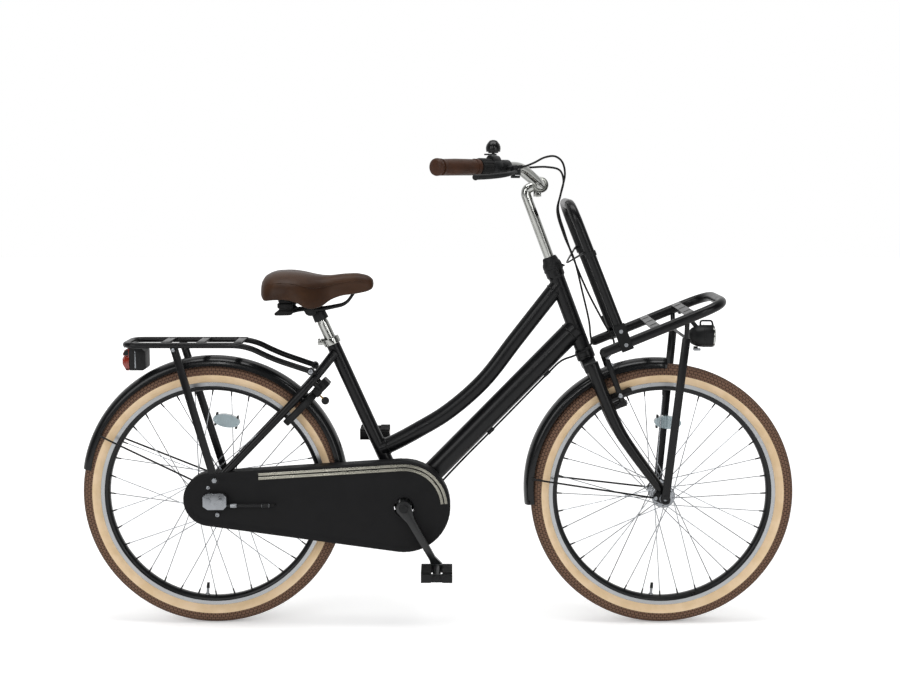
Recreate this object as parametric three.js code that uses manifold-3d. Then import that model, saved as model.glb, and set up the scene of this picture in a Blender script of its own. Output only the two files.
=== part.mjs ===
import * as THREE from 'three';
import { mergeVertices } from 'three/addons/utils/BufferGeometryUtils.js';
import Module from 'manifold-3d';

const wasm = await Module();
wasm.setup();

// A Dutch city bike, in millimetres: X points forward, Y to the rider's left and Z up.
// Every place is worked out from the point on the ground under the rear axle. The last
// lines move the bike so that its origin lies on the ground midway between the axles.

// Fits shared by all pieces
const gap = 0.3;
const running = 1.2;
const overrun = 10;

// Wheels
const wheelbase = 1027;
const tyre = { radius: 301, depth: 47, halfWidth: 23.5, beadHalf: 12 };
const rim = { flange: 6, depth: 14, halfWidth: 13.5, bedHalf: 7, lip: 2.2, bedDrop: 3 };
const spoke = { count: 36, radius: 1.2, crossings: 3 };
const valve = { radius: 3, length: 28, capRadius: 3.8, capLength: 12, angle: 265 };
const wheelFacets = 32;
const axleRadius = 5;
const nut = { radius: 9.5, thickness: 8, washer: 12, washerThickness: 2 };
const frontHub = { halfWidth: 46, flangeRadius: 27, flangeAt: 32, flangeThickness: 4, shell: 15, holes: 22 };
const rearHub = { halfWidth: 36, flangeRadius: 49, flangeAt: 29, flangeThickness: 4, shell: 38, holes: 44 };
const reflector = {
  length: 62, height: 30, half: 7.5, rearAt: 172, frontAt: 166, rearAngle: 80, frontAngle: 86,
};

// Frame
const bracketForward = 437;
const bracketDrop = 16;
const seatAngle = 65.8;
const headAngle = 69.3;
const seatTube = { length: 412, radius: 15.5, bore: 300 };
const headTube = { length: 205, radius: 18, cupRadius: 21, cupHeight: 12 };
const downTube = { radius: 25, headShare: 0.32 };
const topTube = { radius: 18.5, headShare: 0.84, seatShare: 0.32 };
const bracketShell = { radius: 21, halfWidth: 34 };
const chainStay = { radius: 9, endRadius: 7, startY: 27, neckY: 31, bendY: 40, middleY: 52, endY: 59 };
const seatStay = { radius: 10.5, endRadius: 8, startY: 14, middleY: 41, topDrop: 36 };
const dropout = { inner: 62, thickness: 6, reach: 50 };
const bridge = { radius: 6, behindBracket: 97, halfWidth: 35, seatStayShare: 0.16 };

// Seat
const post = { radius: 12.7, above: 62, below: 150 };
const seatClamp = { height: 16, wall: 4.2, boltRadius: 3.5, lug: 9 };
const saddle = {
  behindPost: 124.7, length: 250, abovePost: 11.7, height: 87, rearHalf: 104, wall: 13, skirtWall: 5,
  baseShare: 0.12, baseThickness: 4, baseGap: 1.6, pillarGap: 2.7,
};
const saddleClamp = { behindPost: 16.7, radius: 17, halfWidth: 25, boltRadius: 5 };
const saddleRail = { radius: 3.6, halfGap: 22, abovePost: 9.7 };
const springBlock = { behindPost: 70.7, abovePost: 17.7, y: 54, radius: 17, height: 34 };

// Steering
const fork = {
  length: 363.2, rake: 53, crownY: 46, endY: 54, bladeRadius: 15.5, endRadius: 10.5,
  crownTop: 8, crownHeight: 26, steererRadius: 13, boreRadius: 11.4, dropoutThickness: 6,
};
const headCap = { radius: 22.5, height: 33, topRadius: 15 };
const quill = { radius: 11.1, above: 196, below: 60 };
const barClamp = { ahead: 36, up: 10, radius: 18, halfWidth: 21, boltRadius: 5 };
const bar = {
  radius: 11.1, rise: 40, flatHalf: 50, sweepStartX: -48, sweepStartY: 112, turnX: -82, turnY: 146,
  endX: -230, endY: 296, bend: 28,
};
const grip = { length: 124, radius: 16.5, endWall: 6 };
const shifter = { length: 34, radius: 19, ribs: 16, ribDepth: 1.2 };
const shifterPod = { length: 26, radius: 17.5, height: 22 };
const leverMount = { along: 24, radius: 15.5, length: 20 };
const lever = { length: 143, drop: 22, thickness: 9, width: 13 };
const bell = {
  radius: 17.5, height: 28, fromGrip: 60, lift: 24, wall: 1.6, bandWall: 4, bandLength: 16, stand: 4,
  plate: 12, plateThickness: 3, lever: 27, leverWidth: 9, leverThickness: 4,
};
const brake = {
  pivotAlong: -128, pivotAhead: 40, pivotY: 41, pivotRadius: 5, bossRadius: 8.5, armLength: 106, armWidth: 15,
  armThickness: 9, padAlong: 15, padGap: 2, padLength: 60, padHeight: 10, padThickness: 10, bow: 9,
};

// Mudguards
const mudguard = { halfWidth: 28.5, wall: 1.4, skirt: 24, crownShare: 0.75 };
const rearGuard = { overTyre: 3, shiftX: 2.5, shiftZ: 15, from: 0, to: 171.4 };
const frontGuard = { overTyre: -4.2, shiftX: -19, shiftZ: 17.5, from: 85, to: 188 };
const guardStay = { radius: 2.1, side: 2.6, foot: 6 };

// Carriers and lights
const rack = {
  aboveAxle: 349, railRadius: 6.5, halfGap: 60, tailX: -190, frontX: 84, bend: 44, barWidth: 17,
  barThickness: 5, barXs: [-98, -19, 65], strutX: -78, strutWidth: 17, strutThickness: 8,
  strutEndX: 11, strutEndUp: 45, tabShare: 0.77, tabBack: 12.2, tabOut: 20.7, tabUp: 10.9,
};
const tailLight = { behindRack: 10, length: 52, height: 50, belowRack: 11, halfWidth: 28, hanger: 1.5 };
const basket = {
  aheadOfHead: 31.96, aboveHead: 18.98, tubeRadius: 11, halfGap: 115, slope: 22.3, length: 286, bend: 58,
  barAlongs: [126, 206], barWidth: 20, barThickness: 5,
};
const hoop = {
  ahead: 40, up: 34, lean: 116, height: 290, bend: 46, plateWidth: 27, plateThickness: 5, plateLength: 60,
  wireRadius: 2.2, wireBack: 88, wireUp: 185,
};
const basketStrut = { ahead: 182, up: 30, y: 104, width: 18, thickness: 7 };
const lamp = {
  ahead: 230, up: 24, radius: 25.5, length: 54, lensLength: 9, bracketWidth: 24, bracketThickness: 5,
};

// Drive
const pitch = 12.7;
const ringTeeth = 38;
const sprocketTeeth = 19;
const chain = {
  line: 45, width: 8, half: 4.4, groove: 3.6, grooveDepth: 3.2, tipHeight: 1.9, toothThickness: 2.2,
};
const crank = {
  length: 152, angle: 60.6, spindleRadius: 8.5, armInner: 81, armThickness: 13, bossRadius: 17, eyeRadius: 13,
  spiderRadius: 22, spiderArms: 5, armWidth: 14,
};
const pedal = { length: 69, width: 88, height: 25, spindle: 4.2, tread: 22, core: 9, offset: 12 };
const chainCase = {
  collar: 24, ringRadius: 105, rearRadius: 61, inner: 37, outer: 76, wall: 2, border: 20, round: 5, hole: 22,
  trimWidth: 15, trimThickness: 1.6, trimInset: 2, trimStart: 110,
};
const shifterBox = { x: 13, length: 53, height: 37, thickness: 14, plugRadius: 3.4, plugEnd: 146 };
const reaction = { length: 150, width: 17, thickness: 3 };

// Lock on the seat stays
const lock = {
  angle: 45, centre: 280, ring: 50, band: 8, thickness: 16, shackle: 4.6, bodyTop: 371, bodyHalf: 28,
  mouthAngle: 42, overlapAngle: 24, knobAngle: 8, endAngle: 2, slot: 2.4,
  keyRadius: 2.2, keyLength: 16, keyBow: 9, keyAt: 336, keyY: -18,
};

// Cables
const cableRadius = 2.4;

const degrees = Math.PI / 180;
const turn = 2 * Math.PI;
const v = (x, y, z) => new THREE.Vector3(x, y, z);

// Solids

// Closed geometry as a solid: corners are merged, folded faces dropped, and faces point out.
function toSolid(geometry) {
  for (const name of Object.keys(geometry.attributes)) {
    if (name !== 'position') geometry.deleteAttribute(name);
  }
  const merged = mergeVertices(geometry);
  const corner = merged.attributes.position;
  const faces = [];
  let volume = 0;
  for (let i = 0; i < merged.index.count; i += 3) {
    const [a, b, c] = [0, 1, 2].map((k) => merged.index.getX(i + k));
    if (a === b || b === c || c === a) continue;
    faces.push([a, b, c]);
    const [p, q, r] = [a, b, c].map((k) => new THREE.Vector3().fromBufferAttribute(corner, k));
    volume += p.dot(q.cross(r));
  }
  const outward = volume < 0 ? faces.map((face) => face.reverse()) : faces;
  const triVerts = new Uint32Array(outward.flat());
  return new wasm.Manifold(new wasm.Mesh({ numProp: 3, vertProperties: corner.array, triVerts }));
}

function toGeometry(solid) {
  const mesh = solid.getMesh();
  const geometry = new THREE.BufferGeometry();
  geometry.setAttribute('position', new THREE.BufferAttribute(mesh.vertProperties, mesh.numProp));
  geometry.setIndex(new THREE.BufferAttribute(mesh.triVerts, 1));
  geometry.computeVertexNormals();
  return geometry;
}

const unite = (...solids) => solids.flat().reduce((whole, next) => whole.add(next));
const cut = (solid, ...cutters) => cutters.flat().reduce((whole, next) => whole.subtract(next), solid);
const moved = (solid, matrix) => solid.transform(matrix.elements);
const shifted = (solid, x, y, z) => moved(solid, new THREE.Matrix4().makeTranslation(x, y, z));

// Points on the left side for side 1, or mirrored to the right side for side -1.
const onSide = (points, side) => points.map((p) => v(p.x, p.y * side, p.z));

// A round bar from a to b, with its own radius at each end.
function rod(a, b, radius, endRadius = radius, sides = 8) {
  const along = b.clone().sub(a);
  const geometry = new THREE.CylinderGeometry(endRadius, radius, along.length(), sides);
  const stand = new THREE.Quaternion().setFromUnitVectors(v(0, 1, 0), along.clone().normalize());
  geometry.applyQuaternion(stand);
  const middle = a.clone().lerp(b, 1 / 2);
  geometry.translate(middle.x, middle.y, middle.z);
  return toSolid(geometry);
}

// A round bar along Y through the point (x, z).
const crossRod = (x, z, y0, y1, radius, sides = 8) => rod(v(x, y0, z), v(x, y1, z), radius, radius, sides);

function ball(centre, radius, sides = 6) {
  const geometry = new THREE.SphereGeometry(radius, sides, sides / 2);
  geometry.translate(centre.x, centre.y, centre.z);
  return toSolid(geometry);
}

// A box about a centre, tilted nose up by an angle in radians.
function block(centre, length, width, height, tilt = 0) {
  const geometry = new THREE.BoxGeometry(length, width, height);
  geometry.rotateY(-tilt);
  geometry.translate(centre.x, centre.y, centre.z);
  return toSolid(geometry);
}

// A profile of [radius, height] points turned about the line from a point in a direction.
function turned(profile, from, direction, segments = 32) {
  const geometry = new THREE.LatheGeometry(profile.map(([r, h]) => new THREE.Vector2(r, h)), segments);
  const stand = new THREE.Quaternion().setFromUnitVectors(v(0, 1, 0), direction.clone().normalize());
  geometry.applyQuaternion(stand);
  geometry.translate(from.x, from.y, from.z);
  return toSolid(geometry);
}

// A flat outline in X and Z, given thickness from y towards the rider's right.
function plate(points, y, thickness, bevel = 0) {
  const shape = new THREE.Shape(points.map(([x, z]) => new THREE.Vector2(x, z)));
  const options = {
    depth: thickness - 2 * bevel, bevelEnabled: bevel > 0, bevelThickness: bevel, bevelSize: bevel,
    bevelOffset: -bevel, bevelSegments: 2, curveSegments: 8,
  };
  const geometry = new THREE.ExtrudeGeometry(shape, options);
  geometry.rotateX(Math.PI / 2);
  geometry.translate(0, y - bevel, 0);
  return toSolid(geometry);
}

// A path that is swept station by station, so that straight runs take no extra rings.
class Route extends THREE.Curve {
  constructor(stations) {
    super();
    this.stations = stations;
  }

  getPointAt(u) {
    return this.stations[Math.round(u * (this.stations.length - 1))].clone();
  }

  getTangentAt(u) {
    const last = this.stations.length - 1;
    const i = Math.round(u * last);
    const after = this.stations[Math.min(i + 1, last)].clone().sub(this.stations[Math.min(i, last - 1)]);
    const before = this.stations[Math.max(i, 1)].clone().sub(this.stations[Math.max(i - 1, 0)]);
    return after.normalize().add(before.normalize()).normalize();
  }
}

function sweep(stations, outline) {
  const shape = new THREE.Shape(outline.map(([x, y]) => new THREE.Vector2(x, y)));
  const options = { steps: stations.length - 1, extrudePath: new Route(stations), bevelEnabled: false };
  return toSolid(new THREE.ExtrudeGeometry(shape, options));
}

function oval(halfX, halfY, sides) {
  const points = [];
  for (let i = 0; i < sides; i++) {
    const angle = (i + 1 / 2) / sides * turn;
    points.push([halfX * Math.cos(angle), halfY * Math.sin(angle)]);
  }
  return points;
}

const tube = (stations, radius, sides = 8) => sweep(stations, oval(radius, radius, sides));

// Stations along straight runs whose corners are rounded.
function rounded(points, bend, steps = 5) {
  const stations = [points[0]];
  for (let i = 1; i < points.length - 1; i++) {
    const back = points[i - 1].clone().sub(points[i]);
    const on = points[i + 1].clone().sub(points[i]);
    const reach = Math.min(bend, back.length() / 2, on.length() / 2);
    const start = points[i].clone().addScaledVector(back.normalize(), reach);
    const end = points[i].clone().addScaledVector(on.normalize(), reach);
    stations.push(...new THREE.QuadraticBezierCurve3(start, points[i], end).getPoints(steps));
  }
  stations.push(points.at(-1));
  return stations;
}

const smooth = (points, steps) => new THREE.CatmullRomCurve3(points, false, 'centripetal').getPoints(steps);

function arc(centre, radius, from, to, steps) {
  const stations = [];
  for (let i = 0; i <= steps; i++) {
    const angle = (from + (to - from) * i / steps) * degrees;
    stations.push(v(centre.x + radius * Math.cos(angle), centre.y, centre.z + radius * Math.sin(angle)));
  }
  return stations;
}

// Rings of points joined into one skin, closed at both ends.
function loft(rings) {
  const count = rings[0].length;
  const corners = rings.flat();
  const faces = [];
  for (let i = 0; i + 1 < rings.length; i++) {
    for (let k = 0; k < count; k++) {
      const [a, b] = [i * count + k, i * count + (k + 1) % count];
      faces.push(a, b, b + count, a, b + count, a + count);
    }
  }
  const flat = rings[0].map((p) => new THREE.Vector2(p.y, p.z));
  for (const [a, b, c] of THREE.ShapeUtils.triangulateShape(flat, [])) faces.push(c, b, a);
  const flatEnd = rings.at(-1).map((p) => new THREE.Vector2(p.y, p.z));
  const last = corners.length - count;
  for (const face of THREE.ShapeUtils.triangulateShape(flatEnd, [])) {
    faces.push(...face.map((corner) => last + corner));
  }
  const geometry = new THREE.BufferGeometry().setFromPoints(corners);
  geometry.setIndex(faces);
  return toSolid(geometry);
}

// A tube that narrows evenly along its stations, as a drawn stay or blade does.
function taper(stations, radius, endRadius, sides = 8) {
  const route = new Route(stations);
  const last = stations.length - 1;
  const frames = route.computeFrenetFrames(last, false);
  const corners = [];
  for (let i = 0; i <= last; i++) {
    const size = radius + (endRadius - radius) * i / last;
    for (const [x, y] of oval(size, size, sides)) {
      const corner = stations[i].clone().addScaledVector(frames.normals[i], x);
      corners.push(corner.addScaledVector(frames.binormals[i], y));
    }
  }
  const faces = [];
  for (let i = 0; i < last; i++) {
    for (let k = 0; k < sides; k++) {
      const [a, b] = [i * sides + k, i * sides + (k + 1) % sides];
      faces.push(a, b, b + sides, a, b + sides, a + sides);
    }
  }
  for (let k = 1; k + 1 < sides; k++) {
    faces.push(0, k + 1, k);
    faces.push(last * sides, last * sides + k, last * sides + k + 1);
  }
  const geometry = new THREE.BufferGeometry().setFromPoints(corners);
  geometry.setIndex(faces);
  return toSolid(geometry);
}

// Skeleton

const rearAxle = v(0, 0, tyre.radius);
const frontAxle = v(wheelbase, 0, tyre.radius);
const bracket = v(bracketForward, 0, tyre.radius - bracketDrop);
const seatDirection = v(-Math.cos(seatAngle * degrees), 0, Math.sin(seatAngle * degrees));
const headDirection = v(-Math.cos(headAngle * degrees), 0, Math.sin(headAngle * degrees));
const aheadDirection = v(Math.sin(headAngle * degrees), 0, Math.cos(headAngle * degrees));
const headBottom = frontAxle.clone()
  .addScaledVector(headDirection, fork.length)
  .addScaledVector(aheadDirection, -fork.rake);
const seatPoint = (along) => bracket.clone().addScaledVector(seatDirection, along);
const headPoint = (along, ahead = 0, y = 0) => headBottom.clone()
  .addScaledVector(headDirection, along).addScaledVector(aheadDirection, ahead).add(v(0, y, 0));

const beadSeat = tyre.radius - tyre.depth;
const rimEdge = beadSeat + rim.flange;
const rimInner = beadSeat - rim.depth;
const postTop = seatTube.length + post.above;
const postEnd = seatPoint(postTop);

const bike = new THREE.Group();
const steering = new THREE.Group();
steering.position.copy(headBottom);
steering.rotation.y = -(Math.PI / 2 - headAngle * degrees);
bike.add(steering);

const finishes = {
  black: [0x17181a, 0.38, 0.3],
  satin: [0x222325, 0.6, 0.1],
  chrome: [0xc9ccd0, 0.15, 1],
  aluminium: [0xa9acb0, 0.35, 0.9],
  steel: [0x8d9094, 0.4, 0.9],
  tread: [0x4a3426, 0.85, 0],
  leather: [0x4a2e22, 0.55, 0],
  gripLeather: [0x5a3525, 0.6, 0],
  lens: [0xd9dde2, 0.1, 0],
  red: [0xb3261c, 0.2, 0],
  amber: [0xb9c3cc, 0.25, 0],
  rubber: [0x1a1a1b, 0.8, 0],
};

function add(parent, name, solid, finish) {
  const [color, roughness, metalness] = finishes[finish];
  const material = new THREE.MeshStandardMaterial({ color, roughness, metalness });
  const mesh = new THREE.Mesh(toGeometry(solid), material);
  mesh.name = name;
  parent.add(mesh);
  return mesh;
}

// Frame

// Stays leave their tube near the middle plane and spread around the wheel to the dropouts.
const seatStayPoints = (side) => onSide([
  seatPoint(seatTube.length - seatStay.topDrop).add(v(-seatTube.radius * 0.2, seatStay.startY, 0)),
  seatPoint(seatTube.length - seatStay.topDrop).lerp(rearAxle, 0.19).add(v(0, seatStay.middleY, 0)),
  rearAxle.clone().add(v(dropout.reach * 0.24, dropout.inner + dropout.thickness / 2, dropout.reach * 0.72)),
], side);

const chainStayPoints = (side) => onSide([
  bracket.clone().add(v(-bracketForward * 0.03, chainStay.startY, 0)),
  bracket.clone().add(v(-bracketForward * 0.18, chainStay.neckY, 0)),
  bracket.clone().add(v(-bracketForward * 0.26, chainStay.bendY, 0)),
  rearAxle.clone().lerp(bracket, 0.25).add(v(0, chainStay.middleY, 0)),
  rearAxle.clone().add(v(dropout.reach * 0.8, chainStay.endY, 0)),
], side);

// The room that other pieces leave round a seat stay.
const seatStayRoom = (side) =>
  taper(smooth(seatStayPoints(side), 4), seatStay.radius + gap, seatStay.endRadius + gap);

function dropoutPlate(side) {
  const shares = [
    [-0.3, -0.22], [-0.36, 0.1], [-0.2, 0.62], [-0.06, 1], [0.3, 1.04], [0.44, 0.8],
    [0.5, 0.3], [0.95, 0.2], [0.95, -0.16], [0.2, -0.36],
  ];
  const points = shares.map(([x, z]) => [rearAxle.x + x * dropout.reach, rearAxle.z + z * dropout.reach]);
  const outer = dropout.inner + dropout.thickness;
  return plate(points, side > 0 ? outer : -dropout.inner, dropout.thickness);
}

const topTubeStart = seatPoint(seatTube.length * topTube.seatShare);
const topTubeEnd = headPoint(headTube.length * topTube.headShare);

// The top tube sags below the straight line between its ends: [share along, share of sag].
function topTubePoints() {
  const sagShares = [
    [0, 0], [0.07, 0.023], [0.164, 0.047], [0.305, 0.0757], [0.5, 0.0815], [0.72, 0.0457], [1, 0],
  ];
  const span = topTubeEnd.clone().sub(topTubeStart);
  const below = v(span.z, 0, -span.x);
  return sagShares.map(([along, sag]) =>
    topTubeStart.clone().addScaledVector(span, along).addScaledVector(below, sag));
}

const headCups = [0, headTube.length];
const steererBore = fork.steererRadius + running;

function makeFrame() {
  const headEnd = headPoint(headTube.length);
  const tubes = [
    rod(bracket, seatPoint(seatTube.length), seatTube.radius, seatTube.radius, 12),
    rod(bracket, headPoint(headTube.length * downTube.headShare), downTube.radius, downTube.radius, 12),
    tube(smooth(topTubePoints(), 4), topTube.radius, 10),
    rod(headBottom, headEnd, headTube.radius, headTube.radius, 12),
    crossRod(bracket.x, bracket.z, -bracketShell.halfWidth, bracketShell.halfWidth, bracketShell.radius, 12),
  ];
  const cups = headCups.map((along, i) => {
    const inwards = i ? -headTube.cupHeight : headTube.cupHeight;
    return rod(headPoint(along), headPoint(along + inwards), headTube.cupRadius, headTube.cupRadius, 12);
  });
  const rear = [1, -1].flatMap((side) => [
    taper(smooth(seatStayPoints(side), 4), seatStay.radius, seatStay.endRadius),
    taper(smooth(chainStayPoints(side), 4), chainStay.radius, chainStay.endRadius),
    dropoutPlate(side),
  ]);
  const upper = seatStayPoints(1)[0].lerp(seatStayPoints(1)[1], bridge.seatStayShare);
  const bridges = [
    crossRod(bracket.x - bridge.behindBracket, bracket.z, -bridge.halfWidth, bridge.halfWidth, bridge.radius),
    crossRod(upper.x, upper.z, -upper.y, upper.y, bridge.radius),
  ];
  const bores = [
    rod(seatPoint(seatTube.length - seatTube.bore), seatPoint(seatTube.length + overrun),
      post.radius + gap, post.radius + gap, 12),
    rod(headPoint(-overrun), headPoint(headTube.length + overrun), steererBore, steererBore, 12),
    crossRod(bracket.x, bracket.z, -bracketShell.halfWidth - overrun, bracketShell.halfWidth + overrun,
      crank.spindleRadius + running, 12),
    crossRod(rearAxle.x, rearAxle.z, -dropout.inner - overrun, dropout.inner + overrun, axleRadius + gap),
  ];
  return cut(unite(tubes, cups, rear, bridges), bores);
}

add(bike, 'frame', makeFrame(), 'black');

function makeSeatClamp() {
  const low = seatPoint(seatTube.length - seatClamp.height);
  const high = seatPoint(seatTube.length);
  const outer = seatTube.radius + seatClamp.wall;
  const band = rod(low, high, outer, outer, 12);
  const middle = low.clone().lerp(high, 1 / 2);
  const lugMiddle = middle.clone().add(v(-outer, 0, 0));
  const lug = block(lugMiddle, seatClamp.lug * 2, seatClamp.lug * 2, seatClamp.height);
  const boltX = lugMiddle.x - seatClamp.lug / 2;
  const bolt = crossRod(boltX, middle.z, -outer, outer, seatClamp.boltRadius, 8);
  const hollow = rod(low.clone().addScaledVector(seatDirection, -overrun),
    high.clone().addScaledVector(seatDirection, overrun), seatTube.radius + gap, seatTube.radius + gap, 12);
  return cut(unite(band, lug, bolt), hollow);
}

add(bike, 'seat_clamp', cut(makeSeatClamp(), seatStayRoom(1), seatStayRoom(-1)), 'chrome');

// Seat

const postFoot = seatPoint(seatTube.length - post.below);
add(bike, 'seatpost', rod(postFoot, postEnd, post.radius, post.radius, 12), 'chrome');

const saddleRear = postEnd.x - saddle.behindPost;
const saddleSkirt = postEnd.z + saddle.abovePost;
const saddleTop = saddleSkirt + saddle.height;
const clampX = postEnd.x - saddleClamp.behindPost;
const railZ = postEnd.z + saddleRail.abovePost;
const blockX = postEnd.x - springBlock.behindPost;
const blockZ = postEnd.z + springBlock.abovePost;

// Stations along the saddle: share of length, then half width, top and skirt as shares.
const saddleShares = [
  [0, 0.62, 0.72, 0.42], [0.04, 0.86, 0.9, 0.24], [0.12, 0.98, 0.985, 0.28], [0.25, 1, 1, 0.29],
  [0.34, 0.92, 0.975, 0.2], [0.42, 0.79, 0.935, 0.05], [0.5, 0.6, 0.89, 0.03], [0.6, 0.4, 0.87, 0.2],
  [0.72, 0.3, 0.9, 0.34], [0.85, 0.27, 0.92, 0.38], [0.95, 0.23, 0.86, 0.44], [1, 0.15, 0.74, 0.52],
];

function saddleStation([along, wide, high, low]) {
  return {
    x: saddleRear + along * saddle.length,
    half: wide * saddle.rearHalf,
    top: saddleSkirt + high * saddle.height,
    skirt: saddleSkirt + low * saddle.height,
  };
}

// A leather top is an arch: it falls slowly from the middle and then steeply to its skirt.
function arch(x, half, top, skirt, points, start = 0) {
  const ring = [];
  for (let i = 0; i < points; i++) {
    const angle = Math.PI * (start + (1 - 2 * start) * i / (points - 1));
    const side = Math.sign(Math.cos(angle)) * Math.abs(Math.cos(angle)) ** 0.75;
    ring.push(v(x, half * side, skirt + (top - skirt) * Math.sin(angle) ** 0.7));
  }
  return ring;
}

const archPoints = 11;

function makeSaddleCover() {
  const rings = saddleShares.map((row) => {
    const s = saddleStation(row);
    const outer = arch(s.x, s.half, s.top, s.skirt, archPoints);
    const inner = arch(s.x, s.half - saddle.skirtWall, s.top - saddle.wall, s.skirt, archPoints);
    return [...outer, ...inner.reverse()];
  });
  return loft(rings);
}

function makeSaddleBase() {
  const rings = saddleShares.slice(1, -1).map((row) => {
    const s = saddleStation(row);
    const half = s.half - saddle.skirtWall - saddle.baseGap;
    const top = s.top - saddle.wall - saddle.baseGap;
    const under = top - saddle.baseThickness;
    const outer = arch(s.x, half, top, s.skirt, archPoints, saddle.baseShare);
    const inner = arch(s.x, half - saddle.baseThickness, under, s.skirt, archPoints, saddle.baseShare);
    return [...outer, ...inner.reverse()];
  });
  return loft(rings);
}

// Two rails run under the base from the nose to the back; rubber blocks carry the back.
function railPoints(side) {
  const nose = saddleStation(saddleShares.at(-3));
  const back = saddleStation(saddleShares[2]);
  return onSide([
    v(nose.x, saddleRail.halfGap * 0.3, nose.skirt + saddle.wall),
    v(nose.x - saddle.length * 0.1, saddleRail.halfGap * 0.5, railZ + saddleRail.radius * 3),
    v(clampX + saddleClamp.halfWidth, saddleRail.halfGap, railZ),
    v(clampX - saddleClamp.halfWidth, saddleRail.halfGap, railZ),
    v(blockX, springBlock.y, railZ - springBlock.height * 0.2),
    v(back.x + saddleRail.radius, springBlock.y, railZ - springBlock.height * 0.2),
  ], side);
}

// Everything from the base's underside upwards.
function saddleRoom() {
  const rings = saddleShares.slice(1, -1).map((row) => {
    const s = saddleStation(row);
    const half = s.half - saddle.skirtWall - saddle.baseThickness;
    const top = s.top - saddle.wall - saddle.baseThickness - saddle.pillarGap;
    const under = arch(s.x, half, top, s.skirt - gap, archPoints, saddle.baseShare).reverse();
    return [v(s.x, under.at(-1).y, saddleTop + overrun), v(s.x, under[0].y, saddleTop + overrun), ...under];
  });
  return loft(rings);
}

function makeSaddleRails() {
  const railLine = (side) => rounded(railPoints(side), saddleClamp.halfWidth / 2, 2);
  const rails = [1, -1].map((side) => tube(railLine(side), saddleRail.radius, 6));
  const nose = railPoints(1)[0];
  const back = railPoints(1).at(-1);
  const noseBar = crossRod(nose.x, nose.z, -nose.y, nose.y, saddleRail.radius, 8);
  const rearBar = crossRod(back.x, back.z, -springBlock.y, springBlock.y, saddleRail.radius, 8);
  const blocks = [1, -1].map((side) => {
    const y = springBlock.y * side;
    const foot = v(blockX, y, blockZ - springBlock.height / 2);
    return rod(foot, foot.clone().add(v(0, 0, springBlock.height)), springBlock.radius);
  });
  const pillars = [1, -1].map((side) => {
    const y = springBlock.y * side;
    return rod(v(blockX, y, blockZ), v(blockX, y, saddleTop), springBlock.radius / 2);
  });
  return cut(unite(rails, noseBar, rearBar, blocks, pillars), saddleRoom());
}

function makeSaddleClamp() {
  const { radius, halfWidth } = saddleClamp;
  const barrel = crossRod(clampX, railZ, -halfWidth, halfWidth, radius * 0.85);
  const socket = rod(seatPoint(postTop - radius), seatPoint(postTop + radius / 4), radius);
  const bolt = crossRod(clampX, railZ, -halfWidth * 1.3, halfWidth * 1.3, saddleClamp.boltRadius, 8);
  const roomRadius = post.radius + gap;
  const postRoom = rod(seatPoint(postTop - radius - overrun), postEnd, roomRadius, roomRadius, 12);
  const railRoom = [1, -1].map((side) =>
    tube(rounded(railPoints(side), halfWidth / 2, 2), saddleRail.radius + gap, 6));
  return cut(unite(barrel, socket, bolt), postRoom, railRoom);
}

add(bike, 'saddle_cover', makeSaddleCover(), 'leather');
add(bike, 'saddle_base', makeSaddleBase(), 'rubber');
add(bike, 'saddle_rails', makeSaddleRails(), 'satin');
add(bike, 'saddle_clamp', makeSaddleClamp(), 'satin');

// Wheels

function makeTyre() {
  const wide = tyre.halfWidth;
  const bed = beadSeat + gap;
  const high = tyre.radius - bed;
  const half = [
    [bed, tyre.beadHalf * 0.66], [bed + high * 0.18, tyre.beadHalf * 0.93], [bed + high * 0.34, wide * 0.88],
    [bed + high * 0.58, wide], [bed + high * 0.86, wide * 0.72],
  ];
  const profile = [...half, [tyre.radius, 0], ...half.map(([r, y]) => [r, -y]).reverse(), half[0]];
  return turned(profile, v(0, 0, 0), v(0, 1, 0), wheelFacets);
}

// Holes for the spokes are evenly spaced, and the valve stands midway between two of them.
const holeAngle = (i) => valve.angle + (i + 1 / 2) * 360 / spoke.count;

function makeRim() {
  const lipInner = rim.halfWidth - rim.lip;
  const half = [
    [rimInner, rim.bedHalf], [rimInner + rim.bedDrop * 2, rim.halfWidth], [rimEdge, rim.halfWidth],
    [rimEdge, lipInner], [beadSeat - rim.bedDrop, rim.bedHalf],
  ];
  const profile = [...half, ...half.map(([r, y]) => [r, -y]).reverse(), half[0]];
  const ring = turned(profile, v(0, 0, 0), v(0, 1, 0), wheelFacets);
  const inwards = v(Math.cos(valve.angle * degrees), 0, Math.sin(valve.angle * degrees));
  const point = (radius) => inwards.clone().multiplyScalar(radius);
  const stem = rod(point(rimInner + rim.bedDrop), point(rimInner - valve.length), valve.radius);
  const capFoot = point(rimInner - valve.length + valve.capLength);
  const cap = rod(capFoot, point(rimInner - valve.length), valve.capRadius, valve.capRadius * 0.8);
  return unite(ring, stem, cap);
}

// Tangent spokes: on each flange they lean forward and back by turns and cross their neighbours.
function spokes(hub, radius) {
  const perSide = spoke.count / 2;
  const lean = spoke.crossings * 360 / perSide;
  const solids = [];
  for (let i = 0; i < spoke.count; i++) {
    const side = i % 2 ? 1 : -1;
    const forwards = Math.floor(i / 2) % 2 ? 1 : -1;
    const outer = holeAngle(i) * degrees;
    const inner = (holeAngle(i) + lean * forwards) * degrees;
    const face = hub.flangeAt + forwards * hub.flangeThickness * 0.6;
    const foot = v(hub.holes * Math.cos(inner), side * face, hub.holes * Math.sin(inner));
    const end = rimInner * Math.cos(Math.PI / wheelFacets) - gap - spoke.radius / 2;
    const tip = v(end * Math.cos(outer), side * rim.bedHalf * 0.3, end * Math.sin(outer));
    solids.push(rod(foot, tip, radius, radius, 3));
  }
  return solids;
}

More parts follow.
